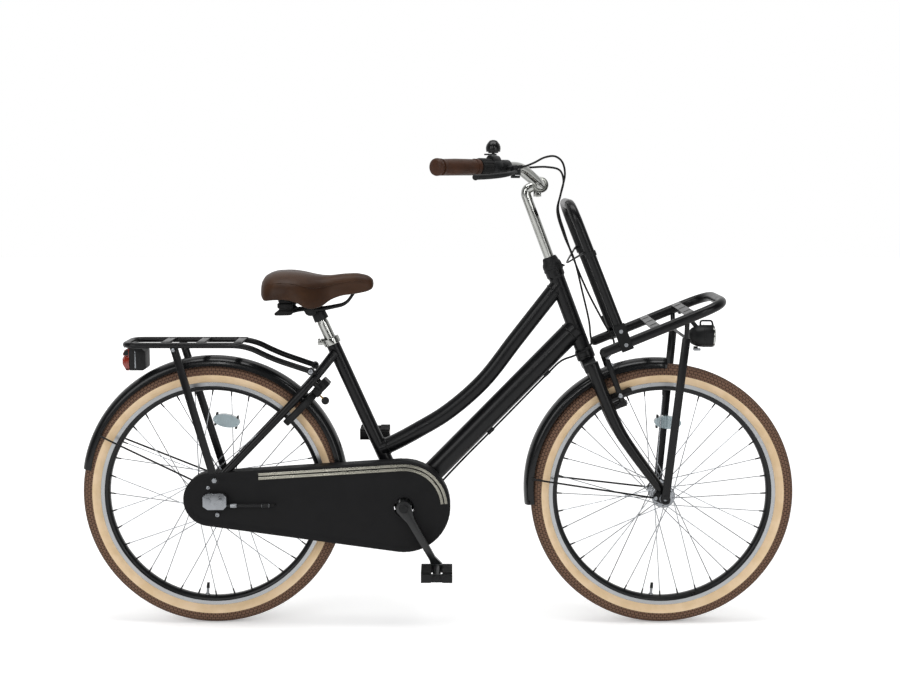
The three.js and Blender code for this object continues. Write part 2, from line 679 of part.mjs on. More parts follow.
function makeHub(hub) {
  const bore = axleRadius + gap;
  const side = [
    [bore, hub.halfWidth], [hub.shell * 0.62, hub.halfWidth],
    [hub.shell * 0.7, hub.flangeAt + hub.flangeThickness],
    [hub.flangeRadius, hub.flangeAt + hub.flangeThickness / 2],
    [hub.flangeRadius, hub.flangeAt - hub.flangeThickness / 2],
    [hub.shell, hub.flangeAt - hub.flangeThickness * 1.6],
  ];
  const profile = [...side, ...side.map(([r, y]) => [r, -y]).reverse(), side[0]];
  return unite(turned(profile, v(0, 0, 0), v(0, 1, 0), 12), spokes(hub, spoke.radius));
}

function makeReflector(hub, at, angle) {
  const outline = oval(reflector.length / 2, reflector.height / 2, 16);
  const body = plate(outline, reflector.half, reflector.half * 2);
  const facing = angle * degrees;
  const stand = new THREE.Matrix4().makeRotationY(Math.PI / 2 - facing);
  const middle = new THREE.Matrix4().makeTranslation(at * Math.cos(facing), 0, at * Math.sin(facing));
  return cut(moved(body, middle.multiply(stand)), spokes(hub, spoke.radius + gap));
}

function addWheel(axle, hub, prefix, at, angle) {
  const wheel = new THREE.Group();
  wheel.position.copy(axle);
  add(wheel, `${prefix}_tyre`, makeTyre(), 'tread');
  add(wheel, `${prefix}_rim`, makeRim(), 'black');
  add(wheel, `${prefix}_hub_and_spokes`, makeHub(hub), 'aluminium');
  add(wheel, `${prefix}_reflector`, makeReflector(hub, at, angle), 'amber');
  bike.add(wheel);
}

addWheel(rearAxle, rearHub, 'rear', reflector.rearAt, reflector.rearAngle);
addWheel(frontAxle, frontHub, 'front', reflector.frontAt, reflector.frontAngle);

// An axle with a washer and a nut outside each dropout.
function makeAxle(centre, outerFace) {
  const seat = outerFace + gap;
  const reach = seat + nut.washerThickness + nut.thickness;
  const ends = [1, -1].flatMap((side) => {
    const washerEnd = seat + nut.washerThickness;
    return [
      crossRod(centre.x, centre.z, side * seat, side * washerEnd, nut.washer, 12),
      crossRod(centre.x, centre.z, side * washerEnd, side * reach, nut.radius, 6),
    ];
  });
  const tip = reach + nut.washerThickness;
  return unite(crossRod(centre.x, centre.z, -tip, tip, axleRadius), ends);
}

// The coaster brake's arm lies along the left chain stay and is strapped to it.
function makeReactionArm() {
  const end = rearAxle.clone().lerp(bracket, reaction.length / bracketForward);
  const middle = rearAxle.clone().lerp(end, 1 / 2);
  const half = reaction.width / 2;
  const drop = chainStay.radius + half + gap;
  const outline = [
    [rearAxle.x - reaction.width, rearAxle.z - drop * 0.4], [rearAxle.x, rearAxle.z + reaction.width],
    [rearAxle.x + reaction.width, rearAxle.z], [end.x, end.z - drop + half], [end.x, end.z - drop - half],
    [middle.x, middle.z - drop - half],
  ];
  return plate(outline, rearHub.halfWidth + running + reaction.thickness, reaction.thickness);
}

const rearAxleSet = unite(makeAxle(rearAxle, dropout.inner + dropout.thickness), makeReactionArm());
add(bike, 'rear_axle', rearAxleSet, 'steel');

// Fork, in the steering frame: its origin is the foot of the head tube, Z runs up the steerer
// and X points ahead of it.

function bladePoints(side) {
  const lineShares = [[0.045, 0.08], [0.26, 0.09], [0.5, 0.19], [0.63, 0.38], [0.79, 0.68], [0.94, 0.98]];
  return lineShares.map(([down, ahead]) => v(
    ahead * fork.rake, side * (fork.crownY + (fork.endY - fork.crownY) * down), -down * fork.length,
  ));
}

const steererTop = headTube.length + headTube.cupHeight / 2;

function makeFork() {
  const crownMiddle = v(0, 0, -fork.crownTop - fork.crownHeight / 2);
  const crownHalf = fork.crownY + fork.bladeRadius * 0.7;
  const crownShares = [[-1, -0.5], [-1, 0.2], [-0.7, 0.5], [0.7, 0.5], [1, 0.2], [1, -0.5]];
  const crownLine = crownShares.map(([x, z]) => [x * crownHalf, crownMiddle.z + z * fork.crownHeight]);
  const crown = plate(crownLine, fork.bladeRadius, fork.bladeRadius * 2, fork.bladeRadius * 0.3);
  const across = moved(crown, new THREE.Matrix4().makeRotationZ(Math.PI / 2));
  const steerer = rod(crownMiddle, v(0, 0, steererTop), fork.steererRadius, fork.steererRadius, 12);
  const raceRadius = headTube.cupRadius;
  const race = rod(v(0, 0, -fork.crownTop * 1.1), v(0, 0, -gap), raceRadius, raceRadius, 14);
  const blades = [1, -1].map((side) => taper(smooth(bladePoints(side), 4), fork.bladeRadius, fork.endRadius));
  const ends = [1, -1].map((side) => {
    const shares = [
      [-0.9, 1.9], [-1.9, 1.2], [-2, 0.3], [-1, -0.7], [0, -1.2], [0.9, -0.8], [1.15, 0.2], [0.7, 1.9],
    ];
    const outline = shares.map(([x, z]) => [fork.rake + x * nut.washer, -fork.length + z * nut.washer]);
    const inner = fork.endY - fork.dropoutThickness / 2;
    return plate(outline, side > 0 ? inner + fork.dropoutThickness : -inner, fork.dropoutThickness);
  });
  const bosses = [1, -1].map((side) => {
    const y = side * brake.pivotY;
    const blade = v(brake.pivotAhead * 0.2, y, brake.pivotAlong);
    const face = v(brake.pivotAhead - brake.armWidth / 2 - gap, y, brake.pivotAlong);
    const tip = face.clone().add(v(brake.armWidth + gap * 2, 0, 0));
    return unite(rod(blade, face, brake.bossRadius), rod(face, tip, brake.pivotRadius));
  });
  const boreRadius = fork.boreRadius + gap;
  const bore = rod(v(0, 0, -fork.crownTop), v(0, 0, steererTop + overrun), boreRadius, boreRadius, 12);
  const reach = fork.endY + overrun;
  const axleHole = crossRod(fork.rake, -fork.length, -reach, reach, axleRadius + gap, 12);
  return cut(unite(across, steerer, race, blades, ends, bosses), bore, axleHole);
}

add(steering, 'fork', makeFork(), 'black');
add(bike, 'front_axle', makeAxle(frontAxle, fork.endY + fork.dropoutThickness / 2), 'steel');

const capBottom = headTube.length + gap;
const capTop = capBottom + headCap.height;

// The tab at the front of the cap, which the hoop's wire is held by.
function capTab(room) {
  const middle = v(headCap.radius * 0.9, 0, capBottom + headCap.height * 0.2);
  const size = headCap.radius / 2 + room;
  return block(middle, size, size, headCap.height / 8 + room);
}

function makeHeadsetCap() {
  const outer = [
    [0, capBottom], [headCap.radius, capBottom], [headCap.radius, capBottom + headCap.height * 0.35],
    [headCap.radius * 0.86, capBottom + headCap.height * 0.6], [headCap.topRadius, capTop], [0, capTop],
  ];
  const inside = rod(v(0, 0, capBottom - overrun), v(0, 0, steererTop + gap), fork.steererRadius + gap,
    fork.steererRadius + gap, 12);
  const quillHole = rod(v(0, 0, capBottom), v(0, 0, capTop + overrun), quill.radius + running,
    quill.radius + running, 12);
  return cut(unite(turned(outer, v(0, 0, 0), v(0, 0, 1), 16), capTab(0)), inside, quillHole);
}

add(steering, 'headset_cap', makeHeadsetCap(), 'black');

// Stem and handlebar

const quillTop = headTube.length + quill.above;
const clampCentre = headPoint(quillTop).add(v(barClamp.ahead, 0, barClamp.up));

// The right half of the bar from the clamp to its end; the left half mirrors it.
function barPoints(side) {
  const c = clampCentre;
  return onSide([
    v(c.x, bar.flatHalf, c.z),
    v(c.x + bar.sweepStartX, bar.sweepStartY, c.z + bar.rise),
    v(c.x + bar.turnX, bar.turnY, c.z + bar.rise),
    v(c.x + bar.endX, bar.endY, c.z + bar.rise),
  ], side);
}

const barLine = rounded([...barPoints(1).reverse(), ...barPoints(-1)], bar.bend, 3);

function makeStem() {
  const { radius, halfWidth } = barClamp;
  const corners = [headPoint(headTube.length - quill.below), headPoint(quillTop), clampCentre];
  const neck = rounded(corners, quill.radius * 2.2, 4);
  const barrel = crossRod(clampCentre.x, clampCentre.z, -halfWidth, halfWidth, radius, 14);
  const earMiddle = clampCentre.clone().add(v(-radius * 0.35, 0, -radius));
  const ear = block(earMiddle, radius, halfWidth, radius);
  const boltHalf = halfWidth * 0.7;
  const bolt = crossRod(earMiddle.x, earMiddle.z - radius / 5, -boltHalf, boltHalf, barClamp.boltRadius, 6);
  return cut(unite(tube(neck, quill.radius, 10), barrel, ear, bolt), barRoom);
}

const handlebar = tube(barLine, bar.radius, 8);
const barRoom = tube(barLine, bar.radius + gap, 8);
add(bike, 'stem', makeStem(), 'chrome');
add(bike, 'handlebar', handlebar, 'chrome');

// The straight, swept-back end of the bar: a point at a distance in from its tip.
function barEnd(side, fromTip) {
  const [, , inner, tip] = barPoints(side);
  return tip.clone().addScaledVector(inner.clone().sub(tip).normalize(), fromTip);
}

const tipDirection = (side) => barEnd(side, 0).sub(barEnd(side, 1)).normalize();

function makeGrip(side) {
  const start = barEnd(side, grip.length);
  const profileShares = [
    [0, 0], [0, 0.94], [0.05, 1.06], [0.12, 1], [0.3, 1.04], [0.6, 1.06], [0.85, 1],
    [0.95, 1.12], [1, 1.02], [1, 0],
  ];
  const length = grip.length + grip.endWall;
  const profile = profileShares.map(([along, wide]) => [wide * grip.radius, along * length]);
  return cut(turned(profile, start, tipDirection(side), 12), barRoom);
}

add(bike, 'grip_right', makeGrip(-1), 'gripLeather');
add(bike, 'grip_left', makeGrip(1), 'gripLeather');

// The twist shifter turns on the bar just inside the right grip.
const shifterOuterEnd = grip.length + gap * 3;
const shifterInnerEnd = shifterOuterEnd + shifter.length;

function ribbed(radius, depth, ribs) {
  const points = [];
  for (let i = 0; i < ribs * 2; i++) {
    const angle = i / (ribs * 2) * turn;
    const size = radius - (i % 2) * depth;
    points.push([size * Math.cos(angle), size * Math.sin(angle)]);
  }
  return points;
}

function makeShifter() {
  const stations = [barEnd(-1, shifterOuterEnd), barEnd(-1, shifterInnerEnd)];
  const sleeve = sweep(stations, ribbed(shifter.radius, shifter.ribDepth, shifter.ribs));
  const [before, after] = [barEnd(-1, shifterOuterEnd - overrun), barEnd(-1, shifterInnerEnd + overrun)];
  const room = rod(before, after, bar.radius + running);
  return cut(sleeve, room);
}

add(bike, 'twist_shifter', makeShifter(), 'rubber');

// Housing beside the shifter, with the brake lever's clamp and pivot ears.
const podOuter = shifterInnerEnd + gap * 3;
const podInner = podOuter + shifterPod.length;
const mountMiddle = podInner + leverMount.length;
const leverPivot = barEnd(-1, mountMiddle).add(v(leverMount.along, -leverMount.along, -lever.drop / 2));

// A round pin on the lever's pivot line, reaching the same distance above and below it.
const leverPin = (half, radius, sides) =>
  rod(leverPivot.clone().add(v(0, 0, -half)), leverPivot.clone().add(v(0, 0, half)), radius, radius, sides);

function makeLeverBracket() {
  const { radius } = leverMount;
  const [outer, inner] = [barEnd(-1, podOuter), barEnd(-1, podInner)];
  const pod = rod(outer, inner, shifterPod.radius, shifterPod.radius, 10);
  const lift = v(0, 0, shifterPod.height * 0.6);
  const display = rod(outer.clone().add(lift), inner.clone().add(lift), shifterPod.radius * 0.75,
    shifterPod.radius * 0.6, 10);
  const ringEnd = barEnd(-1, mountMiddle + leverMount.length / 2);
  const ring = rod(barEnd(-1, podInner - gap), ringEnd, radius, radius, 10);
  const ear = rod(barEnd(-1, mountMiddle), leverPivot, radius * 0.6, radius * 0.6, 10);
  const eye = leverPin(lever.width, radius * 0.62, 12);
  const leverRoom = leverPin(lever.width / 2 + gap, radius + running, 16);
  const pin = leverPin(lever.width * 0.8, radius * 0.2, 8);
  return cut(unite(cut(unite(pod, display, ring, ear, eye), leverRoom), pin), barRoom);
}

// The lever's stations are shares of its length: along it, out from the bar's line, and up.
function makeLever() {
  const bladeShares = [[0, 0, 0], [0.14, 0.1, 0], [0.35, 0.16, -0.03], [0.7, 0.13, -0.06], [1, 0.12, -0.07]];
  const along = tipDirection(-1);
  const across = v(-along.y, along.x, 0);
  const ahead = across.x > 0 ? across : across.negate();
  const place = (share, outwards, up) => leverPivot.clone()
    .addScaledVector(along, share * lever.length)
    .addScaledVector(ahead, outwards * lever.length)
    .add(v(0, 0, up * lever.length));
  const line = bladeShares.map((shares) => place(...shares));
  const blade = sweep(smooth(line, 4), oval(lever.thickness / 2, lever.width / 2, 6));
  const hub = leverPin(lever.width / 2, leverMount.radius * 0.72, 14);
  const hole = leverPin(lever.width, leverMount.radius * 0.2 + gap * 2, 10);
  return cut(unite(blade, ball(line.at(-1), lever.thickness * 0.8), hub), hole);
}

add(bike, 'lever_bracket', makeLeverBracket(), 'satin');
add(bike, 'brake_lever', makeLever(), 'aluminium');

// Bell on the left of the bar: its dome stands on a post, and a thumb lever turns round that post.
const bellFoot = barEnd(1, grip.length + bell.fromGrip);
const bellHeight = (height) => bellFoot.clone().add(v(0, 0, bar.radius + height));

function makeBell() {
  const domeShares = [[0, 0], [0.9, 0], [1, 0.25], [0.88, 0.62], [0.5, 0.93], [0, 1]];
  const outer = domeShares.map(([wide, up]) => [wide * bell.radius, up * bell.height]);
  const inner = outer.map(([r, h]) => [Math.max(0, r - bell.wall), Math.max(0, h - bell.wall)]);
  const hollow = turned(inner, bellHeight(bell.lift - bell.wall), v(0, 0, 1), 14);
  const dome = cut(turned(outer, bellHeight(bell.lift), v(0, 0, 1), 14), hollow);
  const post = rod(bellFoot, bellHeight(bell.lift + bell.height - bell.wall), bell.stand, bell.stand, 8);
  const underDome = bellHeight(bell.lift - bell.plateThickness);
  const plateDisc = rod(underDome, bellHeight(bell.lift), bell.plate, bell.plate, 12);
  const bandAt = grip.length + bell.fromGrip;
  const bandRadius = bar.radius + bell.bandWall;
  const band = rod(barEnd(1, bandAt - bell.bandLength / 2), barEnd(1, bandAt + bell.bandLength / 2),
    bandRadius, bandRadius, 10);
  return cut(unite(dome, post, plateDisc, band), barRoom);
}

function makeBellLever() {
  const top = bell.lift - bell.plateThickness - running;
  const middle = bellHeight(top - bell.leverThickness / 2);
  const out = bell.lever / 2 * Math.SQRT1_2;
  const thumb = block(v(0, 0, 0), bell.lever, bell.leverWidth, bell.leverThickness)
    .rotate(0, 0, 45).translate(middle.x - out, middle.y - out, middle.z);
  const bossRadius = bell.stand * 2;
  const boss = rod(bellHeight(top - bell.leverThickness), bellHeight(top), bossRadius, bossRadius, 10);
  const hole = rod(bellHeight(0), bellHeight(bell.lift), bell.stand + running, bell.stand + running, 10);
  return cut(unite(thumb, boss), hole);
}

add(bike, 'bell', makeBell(), 'black');
add(bike, 'bell_lever', makeBellLever(), 'satin');

// Front brake arms: each hangs on its boss beside the blade and carries a pad on a stud.
function makeBrakeArm(side) {
  const p = v(brake.pivotAhead, side * brake.pivotY, brake.pivotAlong);
  const bowShares = [[-0.04, 0], [0.12, 0.5], [0.4, 1], [0.75, 0.9], [1, 0.35]];
  const line = bowShares.map(([up, out]) =>
    p.clone().add(v(0, side * out * brake.bow, up * brake.armLength)));
  const arm = sweep(smooth(line, 4), oval(brake.armWidth / 2, brake.armThickness / 2, 6));
  const onPivot = (half, radius) => rod(p.clone().add(v(-half, 0, 0)), p.clone().add(v(half, 0, 0)), radius);
  const eye = onPivot(brake.armWidth / 2, brake.bossRadius);
  const hole = onPivot(brake.armWidth, brake.pivotRadius + gap * 2);
  const padY = rim.halfWidth + brake.padGap + brake.padThickness / 2;
  const padAt = v(p.x, side * padY, p.z + brake.padAlong + brake.padHeight / 2);
  const pad = block(padAt, brake.padLength, brake.padThickness, brake.padHeight);
  const studEnd = v(padAt.x, side * (brake.pivotY + brake.bow + brake.armWidth / 2), padAt.z);
  const stud = rod(padAt, studEnd, brake.pivotRadius * 0.8);
  return cut(unite(arm, eye, pad, stud), hole);
}

add(steering, 'brake_arm_right', makeBrakeArm(-1), 'satin');
add(steering, 'brake_arm_left', makeBrakeArm(1), 'satin');

// Mudguards: a thin crowned channel swept round the wheel, on a circle a little off the tyre's.
const guardRadius = (guard) => tyre.radius + guard.overTyre;

function guardSection() {
  const outer = [];
  const steps = 6;
  for (let i = 0; i <= steps; i++) {
    const angle = Math.PI * i / steps;
    const high = Math.sin(angle) ** mudguard.crownShare;
    outer.push([mudguard.halfWidth * Math.cos(angle), mudguard.skirt * (high - 1)]);
  }
  const inset = (mudguard.halfWidth - mudguard.wall) / mudguard.halfWidth;
  const inner = outer.map(([y, down]) => [y * inset, down - mudguard.wall]).reverse();
  inner[0][1] = outer.at(-1)[1];
  inner[inner.length - 1][1] = outer[0][1];
  return [...outer, ...inner];
}

function makeGuard(axle, guard, steps) {
  const centre = v(axle.x + guard.shiftX, 0, axle.z + guard.shiftZ);
  return sweep(arc(centre, guardRadius(guard) + mudguard.wall, guard.from, guard.to, steps), guardSection());
}

add(bike, 'rear_fender', makeGuard(rearAxle, rearGuard, 15), 'black');
add(bike, 'front_fender', makeGuard(frontAxle, frontGuard, 12), 'black');

// A wire stay from the mudguard's skirt near its tail to an eyelet on the dropout.
function makeGuardStay(axle, guard, share, eye, side) {
  const angle = (guard.to + (guard.from - guard.to) * share) * degrees;
  const reach = guardRadius(guard) - mudguard.skirt * 0.8;
  const top = v(
    axle.x + guard.shiftX + reach * Math.cos(angle), mudguard.halfWidth + guardStay.side,
    axle.z + guard.shiftZ + reach * Math.sin(angle),
  );
  const foot = eye.clone();
  const points = onSide([top, top.clone().lerp(foot, 0.1).add(v(0, guardStay.side, 0)), foot], side);
  const [, , eyeAt] = points;
  const inward = eyeAt.clone().add(v(0, -side * guardStay.foot * 0.6, 0));
  const outward = eyeAt.clone().add(v(0, side * guardStay.foot * 0.5, 0));
  const eyelet = rod(inward, outward, guardStay.foot * 0.8);
  const skirtY = side * (mudguard.halfWidth + gap);
  const buttonY = side * (top.y + guardStay.radius);
  const button = crossRod(top.x, top.z, skirtY, buttonY, guardStay.foot * 0.7);
  return unite(tube(rounded(points, guardStay.foot * 2, 1), guardStay.radius, 6), eyelet, button);
}

const dropoutFace = dropout.inner + dropout.thickness + gap;
const rearEye = rearAxle.clone()
  .add(v(-dropout.reach * 0.07, dropoutFace + guardStay.foot * 0.6, dropout.reach * 0.56));
const frontFace = fork.endY + fork.dropoutThickness / 2 + gap;
const frontEye = frontAxle.clone().add(v(0, frontFace + guardStay.foot * 0.6, 0))
  .addScaledVector(aheadDirection, -nut.washer * 1.6).addScaledVector(headDirection, nut.washer * 0.75);
for (const [name, side] of [['right', -1], ['left', 1]]) {
  add(bike, `rear_fender_stay_${name}`, makeGuardStay(rearAxle, rearGuard, 0.1, rearEye, side), 'steel');
  add(bike, `front_fender_stay_${name}`, makeGuardStay(frontAxle, frontGuard, 0.12, frontEye, side), 'steel');
}

// Rear carrier: one rail runs round the tail; struts stand on the dropouts.
const rackZ = rearAxle.z + rack.aboveAxle;

// The place on the left seat stay that the rail's front end is tabbed to.
function rackTab() {
  const [stayTop, stayMiddle] = seatStayPoints(1);
  return stayTop.lerp(stayMiddle, rack.tabShare);
}

function rackPoints(side) {
  const foot = rackTab().add(v(-rack.tabBack, rack.tabOut, rack.tabUp));
  return onSide([
    v(rack.tailX, 0, rackZ), v(rack.tailX, rack.halfGap, rackZ), v(rack.frontX, rack.halfGap, rackZ),
    v(rack.frontX + (foot.x - rack.frontX) * 0.4, rack.halfGap, (rackZ + foot.z) / 2), foot,
  ], side);
}

function makeStrutBar(from, to, width, thickness) {
  const outline = [
    [thickness / 2, width / 2], [-thickness / 2, width / 2], [-thickness * 0.3, 0],
    [-thickness / 2, -width / 2], [thickness / 2, -width / 2], [thickness * 0.3, 0],
  ];
  return sweep([from, to], outline);
}

function makeRack() {
  const line = [...rackPoints(1).reverse(), ...rackPoints(-1).slice(1)];
  const rail = tube(rounded(line, rack.bend, 3), rack.railRadius, 8);
  const barZ = rackZ + rack.railRadius - rack.barThickness / 2;
  const bars = rack.barXs.map((x) =>
    block(v(x, 0, barZ), rack.barWidth, rack.halfGap * 2, rack.barThickness));
  const feet = [1, -1].map((side) => {
    const foot = rackPoints(side).at(-1);
    const [onStay] = onSide([rackTab()], side);
    return unite(
      crossRod(foot.x, foot.z, foot.y - rack.railRadius, foot.y + rack.railRadius, rack.railRadius * 1.3),
      rod(foot, onStay, rack.railRadius * 0.9),
    );
  });
  const struts = [1, -1].map((side) => {
    const y = dropoutFace + rack.strutThickness / 2;
    const low = v(rearAxle.x + rack.strutEndX, y, rearAxle.z + rack.strutEndUp);
    const [top, foot] = onSide([v(rack.strutX, rack.halfGap, rackZ), low], side);
    return makeStrutBar(top, foot, rack.strutWidth, rack.strutThickness);
  });
  const rooms = [seatStayRoom(1), seatStayRoom(-1), guardEyes(), dropoutBlocks()].flat();
  return cut(unite(rail, bars, feet, struts), rooms);
}

// Room round what the struts' feet pass: the mudguard stays' eyelets and the dropouts.
function guardEyes() {
  return [1, -1].map((side) => {
    const [eye] = onSide([rearEye], side);
    const radius = guardStay.foot * 0.8 + gap;
    return crossRod(eye.x, eye.z, eye.y - guardStay.foot, eye.y + guardStay.foot, radius);
  });
}

function dropoutBlocks() {
  const size = dropout.reach * 3;
  return [1, -1].map((side) =>
    block(v(rearAxle.x, side * (dropoutFace - size / 2), rearAxle.z), size, size, size * 0.72));
}

add(bike, 'rear_rack', makeRack(), 'black');

// Share of the lamp's length at which the lens meets its housing.
const housingFaceShare = 0.3;

// The lamp hangs under the rack's tail; its outline is given in shares of its length and height.
const tailRear = rack.tailX - tailLight.behindRack;
const tailTop = rackZ - tailLight.belowRack;
const tailOutline = (shares) => shares.map(([x, z]) =>
  [tailRear + x * tailLight.length, tailTop - (1 - z) * tailLight.height]);

function makeTailLight() {
  const shares = [[1, 0.1], [1, 0.86], [0.86, 1], [housingFaceShare, 1], [housingFaceShare, 0], [0.9, 0]];
  const half = tailLight.halfWidth;
  const body = plate(tailOutline(shares), half, half * 2, half * 0.15);
  const under = rackZ - rack.railRadius - gap;
  const low = tailTop - tailLight.hanger;
  const length = tailLight.length * 0.7;
  const hanger = block(v(tailRear + length / 2, 0, (low + under) / 2), length, half, under - low);
  return unite(body, hanger);
}

function makeTailLens() {
  const backShare = housingFaceShare - gap / tailLight.length;
  const shares = [[backShare, 0.02], [backShare, 0.95], [0.1, 0.92], [0, 0.7], [0, 0.3], [0.1, 0.06]];
  const half = tailLight.halfWidth;
  return plate(tailOutline(shares), half, half * 2, half * 0.1);
}

add(bike, 'tail_light_housing', makeTailLight(), 'satin');
add(bike, 'tail_light_lens', makeTailLens(), 'red');

// Front carrier: a round rail that slopes up ahead of the head tube, open to the rear.
const basketSlope = basket.slope * degrees;
const basketStart = headBottom.clone().add(v(basket.aheadOfHead, 0, basket.aboveHead));
const basketPoint = (along, y, up = 0) => v(
  basketStart.x + along * Math.cos(basketSlope) - up * Math.sin(basketSlope), y,
  basketStart.z + along * Math.sin(basketSlope) + up * Math.cos(basketSlope),
);

function basketRail(radius) {
  const points = [
    basketPoint(0, basket.halfGap), basketPoint(basket.length, basket.halfGap),
    basketPoint(basket.length, -basket.halfGap), basketPoint(0, -basket.halfGap),
  ];
  return tube(rounded(points, basket.bend, 4), radius, 8);
}

function makeBasket() {
  const rail = basketRail(basket.tubeRadius);
  return unite(rail, basketBars(basket.barWidth, basket.halfGap * 2, basket.barThickness));
}

function basketBars(length, width, thickness) {
  return basket.barAlongs.map((along) => {
    const middle = basketPoint(along, 0, basket.tubeRadius - basket.barThickness / 2);
    return block(middle, length, width, thickness, basketSlope);
  });
}

add(bike, 'front_carrier', makeBasket(), 'black');

// The hoop stands on the carrier's rails and leans back over the head tube.
const hoopFoot = basketStart.clone().add(v(hoop.ahead, 0, hoop.up));
const hoopTop = hoopFoot.clone().add(v(-hoop.lean, 0, hoop.height));
const wireEnd = hoopFoot.clone().add(v(-hoop.wireBack, 0, hoop.wireUp));
const outTo = (point, y) => point.clone().add(v(0, y, 0));

function makeHoop() {
  const half = basket.halfGap;
  const line = [outTo(hoopFoot, half), outTo(hoopTop, half), outTo(hoopTop, -half), outTo(hoopFoot, -half)];
  const bow = tube(rounded(line, hoop.bend, 4), basket.tubeRadius, 8);
  const tilt = Math.atan2(hoop.height, -hoop.lean);
  const feet = [1, -1].map((side) => {
    const foot = outTo(hoopFoot, side * (half + basket.tubeRadius));
    return block(foot, hoop.plateLength, hoop.plateThickness * 2, hoop.plateWidth, tilt);
  });
  const tab = headPoint(capBottom + headCap.height * 0.2, headCap.radius * 1.15)
    .add(v(hoop.wireRadius * 2, 0, 0));
  const wire = rounded([outTo(wireEnd, half), tab, outTo(wireEnd, -half)], hoop.bend / 2, 3);
  const middle = hoopFoot.clone().lerp(hoopTop, hoop.wireUp / hoop.height);
  const step = hoopTop.clone().sub(hoopFoot).normalize().multiplyScalar(basket.tubeRadius / 2);
  const clips = [half, -half].map((y) => unite(
    rod(outTo(middle, y).sub(step), outTo(middle, y).add(step), basket.tubeRadius + hoop.wireRadius),
    rod(outTo(middle, y), outTo(wireEnd, y), hoop.wireRadius * 2),
  ));
  const capRadius = headCap.radius + gap;
  const capRoom = rod(headPoint(headTube.length), headPoint(capTop), capRadius, capRadius, 20);
  const tabRoom = moved(capTab(gap * 2), new THREE.Matrix4()
    .makeTranslation(headBottom.x, 0, headBottom.z)
    .multiply(new THREE.Matrix4().makeRotationY(steering.rotation.y)));
  const railRoom = basketRail(basket.tubeRadius + gap);
  return cut(unite(bow, feet, tube(wire, hoop.wireRadius, 6), clips), capRoom, tabRoom, railRoom);
}

add(bike, 'carrier_hoop', makeHoop(), 'black');

// One bent strut holds the carrier's front up from both ends of the front axle.
const frontStrutFoot = frontFace + nut.washerThickness + nut.thickness + gap + basketStrut.thickness / 2;

function makeCarrierStrut() {
  const top = basketStart.clone().add(v(basketStrut.ahead, basketStrut.y, basketStrut.up));
  const under = basketPoint(basketStrut.ahead / Math.cos(basketSlope), basket.halfGap);
  const legs = [1, -1].map((side) => {
    const [high, low] = onSide([top, v(frontAxle.x, frontStrutFoot, frontAxle.z)], side);
    const hung = v(under.x, side * basket.halfGap, under.z);
    return unite(
      makeStrutBar(high, low, basketStrut.width, basketStrut.thickness),
      crossRod(low.x, low.z, low.y - basketStrut.thickness / 2, low.y + basketStrut.thickness / 2,
        basketStrut.width * 0.62),
      rod(high, hung, basketStrut.thickness * 0.8),
    );
  });
  const bow = crossRod(top.x, top.z, -top.y, top.y, basketStrut.thickness / 2);
  const railRoom = basketRail(basket.tubeRadius + gap);
  const reach = frontStrutFoot + overrun;
  const axleRoom = crossRod(frontAxle.x, frontAxle.z, -reach, reach, axleRadius + gap);
  return cut(unite(legs, bow), railRoom, axleRoom);
}

add(bike, 'carrier_strut', makeCarrierStrut(), 'black');

// Headlight under the carrier's front bar.
const lampAxis = v(1, 0, 0);
const lampMiddle = basketStart.clone().add(v(lamp.ahead, 0, lamp.up));
const lampRear = lampMiddle.clone().add(v(-lamp.length / 2, 0, 0));

function makeLamp() {
  const shellShares = [
    [0, 0], [0.5, 0.02], [0.85, 0.25], [1, 0.6], [1, 1], [0.86, 1], [0.8, 0.9], [0, 0.85],
  ];
  const shell = shellShares.map(([wide, along]) => [wide * lamp.radius, along * lamp.length]);
  const body = turned(shell, lampRear, lampAxis, 16);
  const lastBar = basket.barAlongs.at(-1);
  const underBar = basket.tubeRadius - basket.barThickness - gap;
  const armFoot = lampMiddle.clone().add(v(-lamp.length * 0.1, 0, lamp.radius * 0.6));
  const arm = rod(armFoot, basketPoint(lastBar, 0, underBar), lamp.bracketThickness);
  const foot = block(basketPoint(lastBar, 0, underBar - lamp.bracketThickness / 2), lamp.bracketWidth,
    lamp.bracketWidth, lamp.bracketThickness, basketSlope);
  const room = basketBars(basket.barWidth + gap * 2, basket.halfGap, basket.barThickness + gap * 2);
  return cut(unite(body, arm, foot), room);
}

const glassShares = [[0, 0], [0.78, 0], [0.84, 0.7], [0.6, 1], [0, 1.2]];
const lampGlass = turned(
  glassShares.map(([wide, along]) => [wide * lamp.radius, along * lamp.lensLength]),
  lampRear.clone().add(v(lamp.length * 0.9 + gap * 2, 0, 0)), lampAxis, 16,
);
add(bike, 'headlight_housing', makeLamp(), 'satin');
add(bike, 'headlight_lens', lampGlass, 'lens');

// Drive

const ringPitch = pitch / 2 / Math.sin(Math.PI / ringTeeth);
const sprocketPitch = pitch / 2 / Math.sin(Math.PI / sprocketTeeth);

function toothed(teeth, pitchRadius) {
  const points = [];
  const toothShares = [[-0.38, 0], [0, 1], [0.38, 0]];
  for (let i = 0; i < teeth; i++) {
    for (const [share, high] of toothShares) {
      const angle = (i + share) / teeth * turn;
      const size = pitchRadius - chain.half + high * (chain.half + chain.tipHeight);
      points.push([size * Math.cos(angle), size * Math.sin(angle)]);
    }
  }
  return points;
}

function makeChainRing() {
  const y = -chain.line + chain.toothThickness / 2;
  const disc = plate(toothed(ringTeeth, ringPitch), y, chain.toothThickness);
  const hollow = crossRod(0, 0, y + overrun, y - overrun, ringPitch * 0.82, 20);
  const ring = cut(disc, hollow);
  const arms = [];
  for (let i = 0; i < crank.spiderArms; i++) {
    const angle = i / crank.spiderArms * turn;
    const spider = block(v(ringPitch * 0.43, -chain.line, 0), ringPitch * 0.86, chain.toothThickness * 1.8,
      crank.armWidth);
    arms.push(moved(spider, new THREE.Matrix4().makeRotationY(-angle)));
  }
  return unite(ring, arms);
}

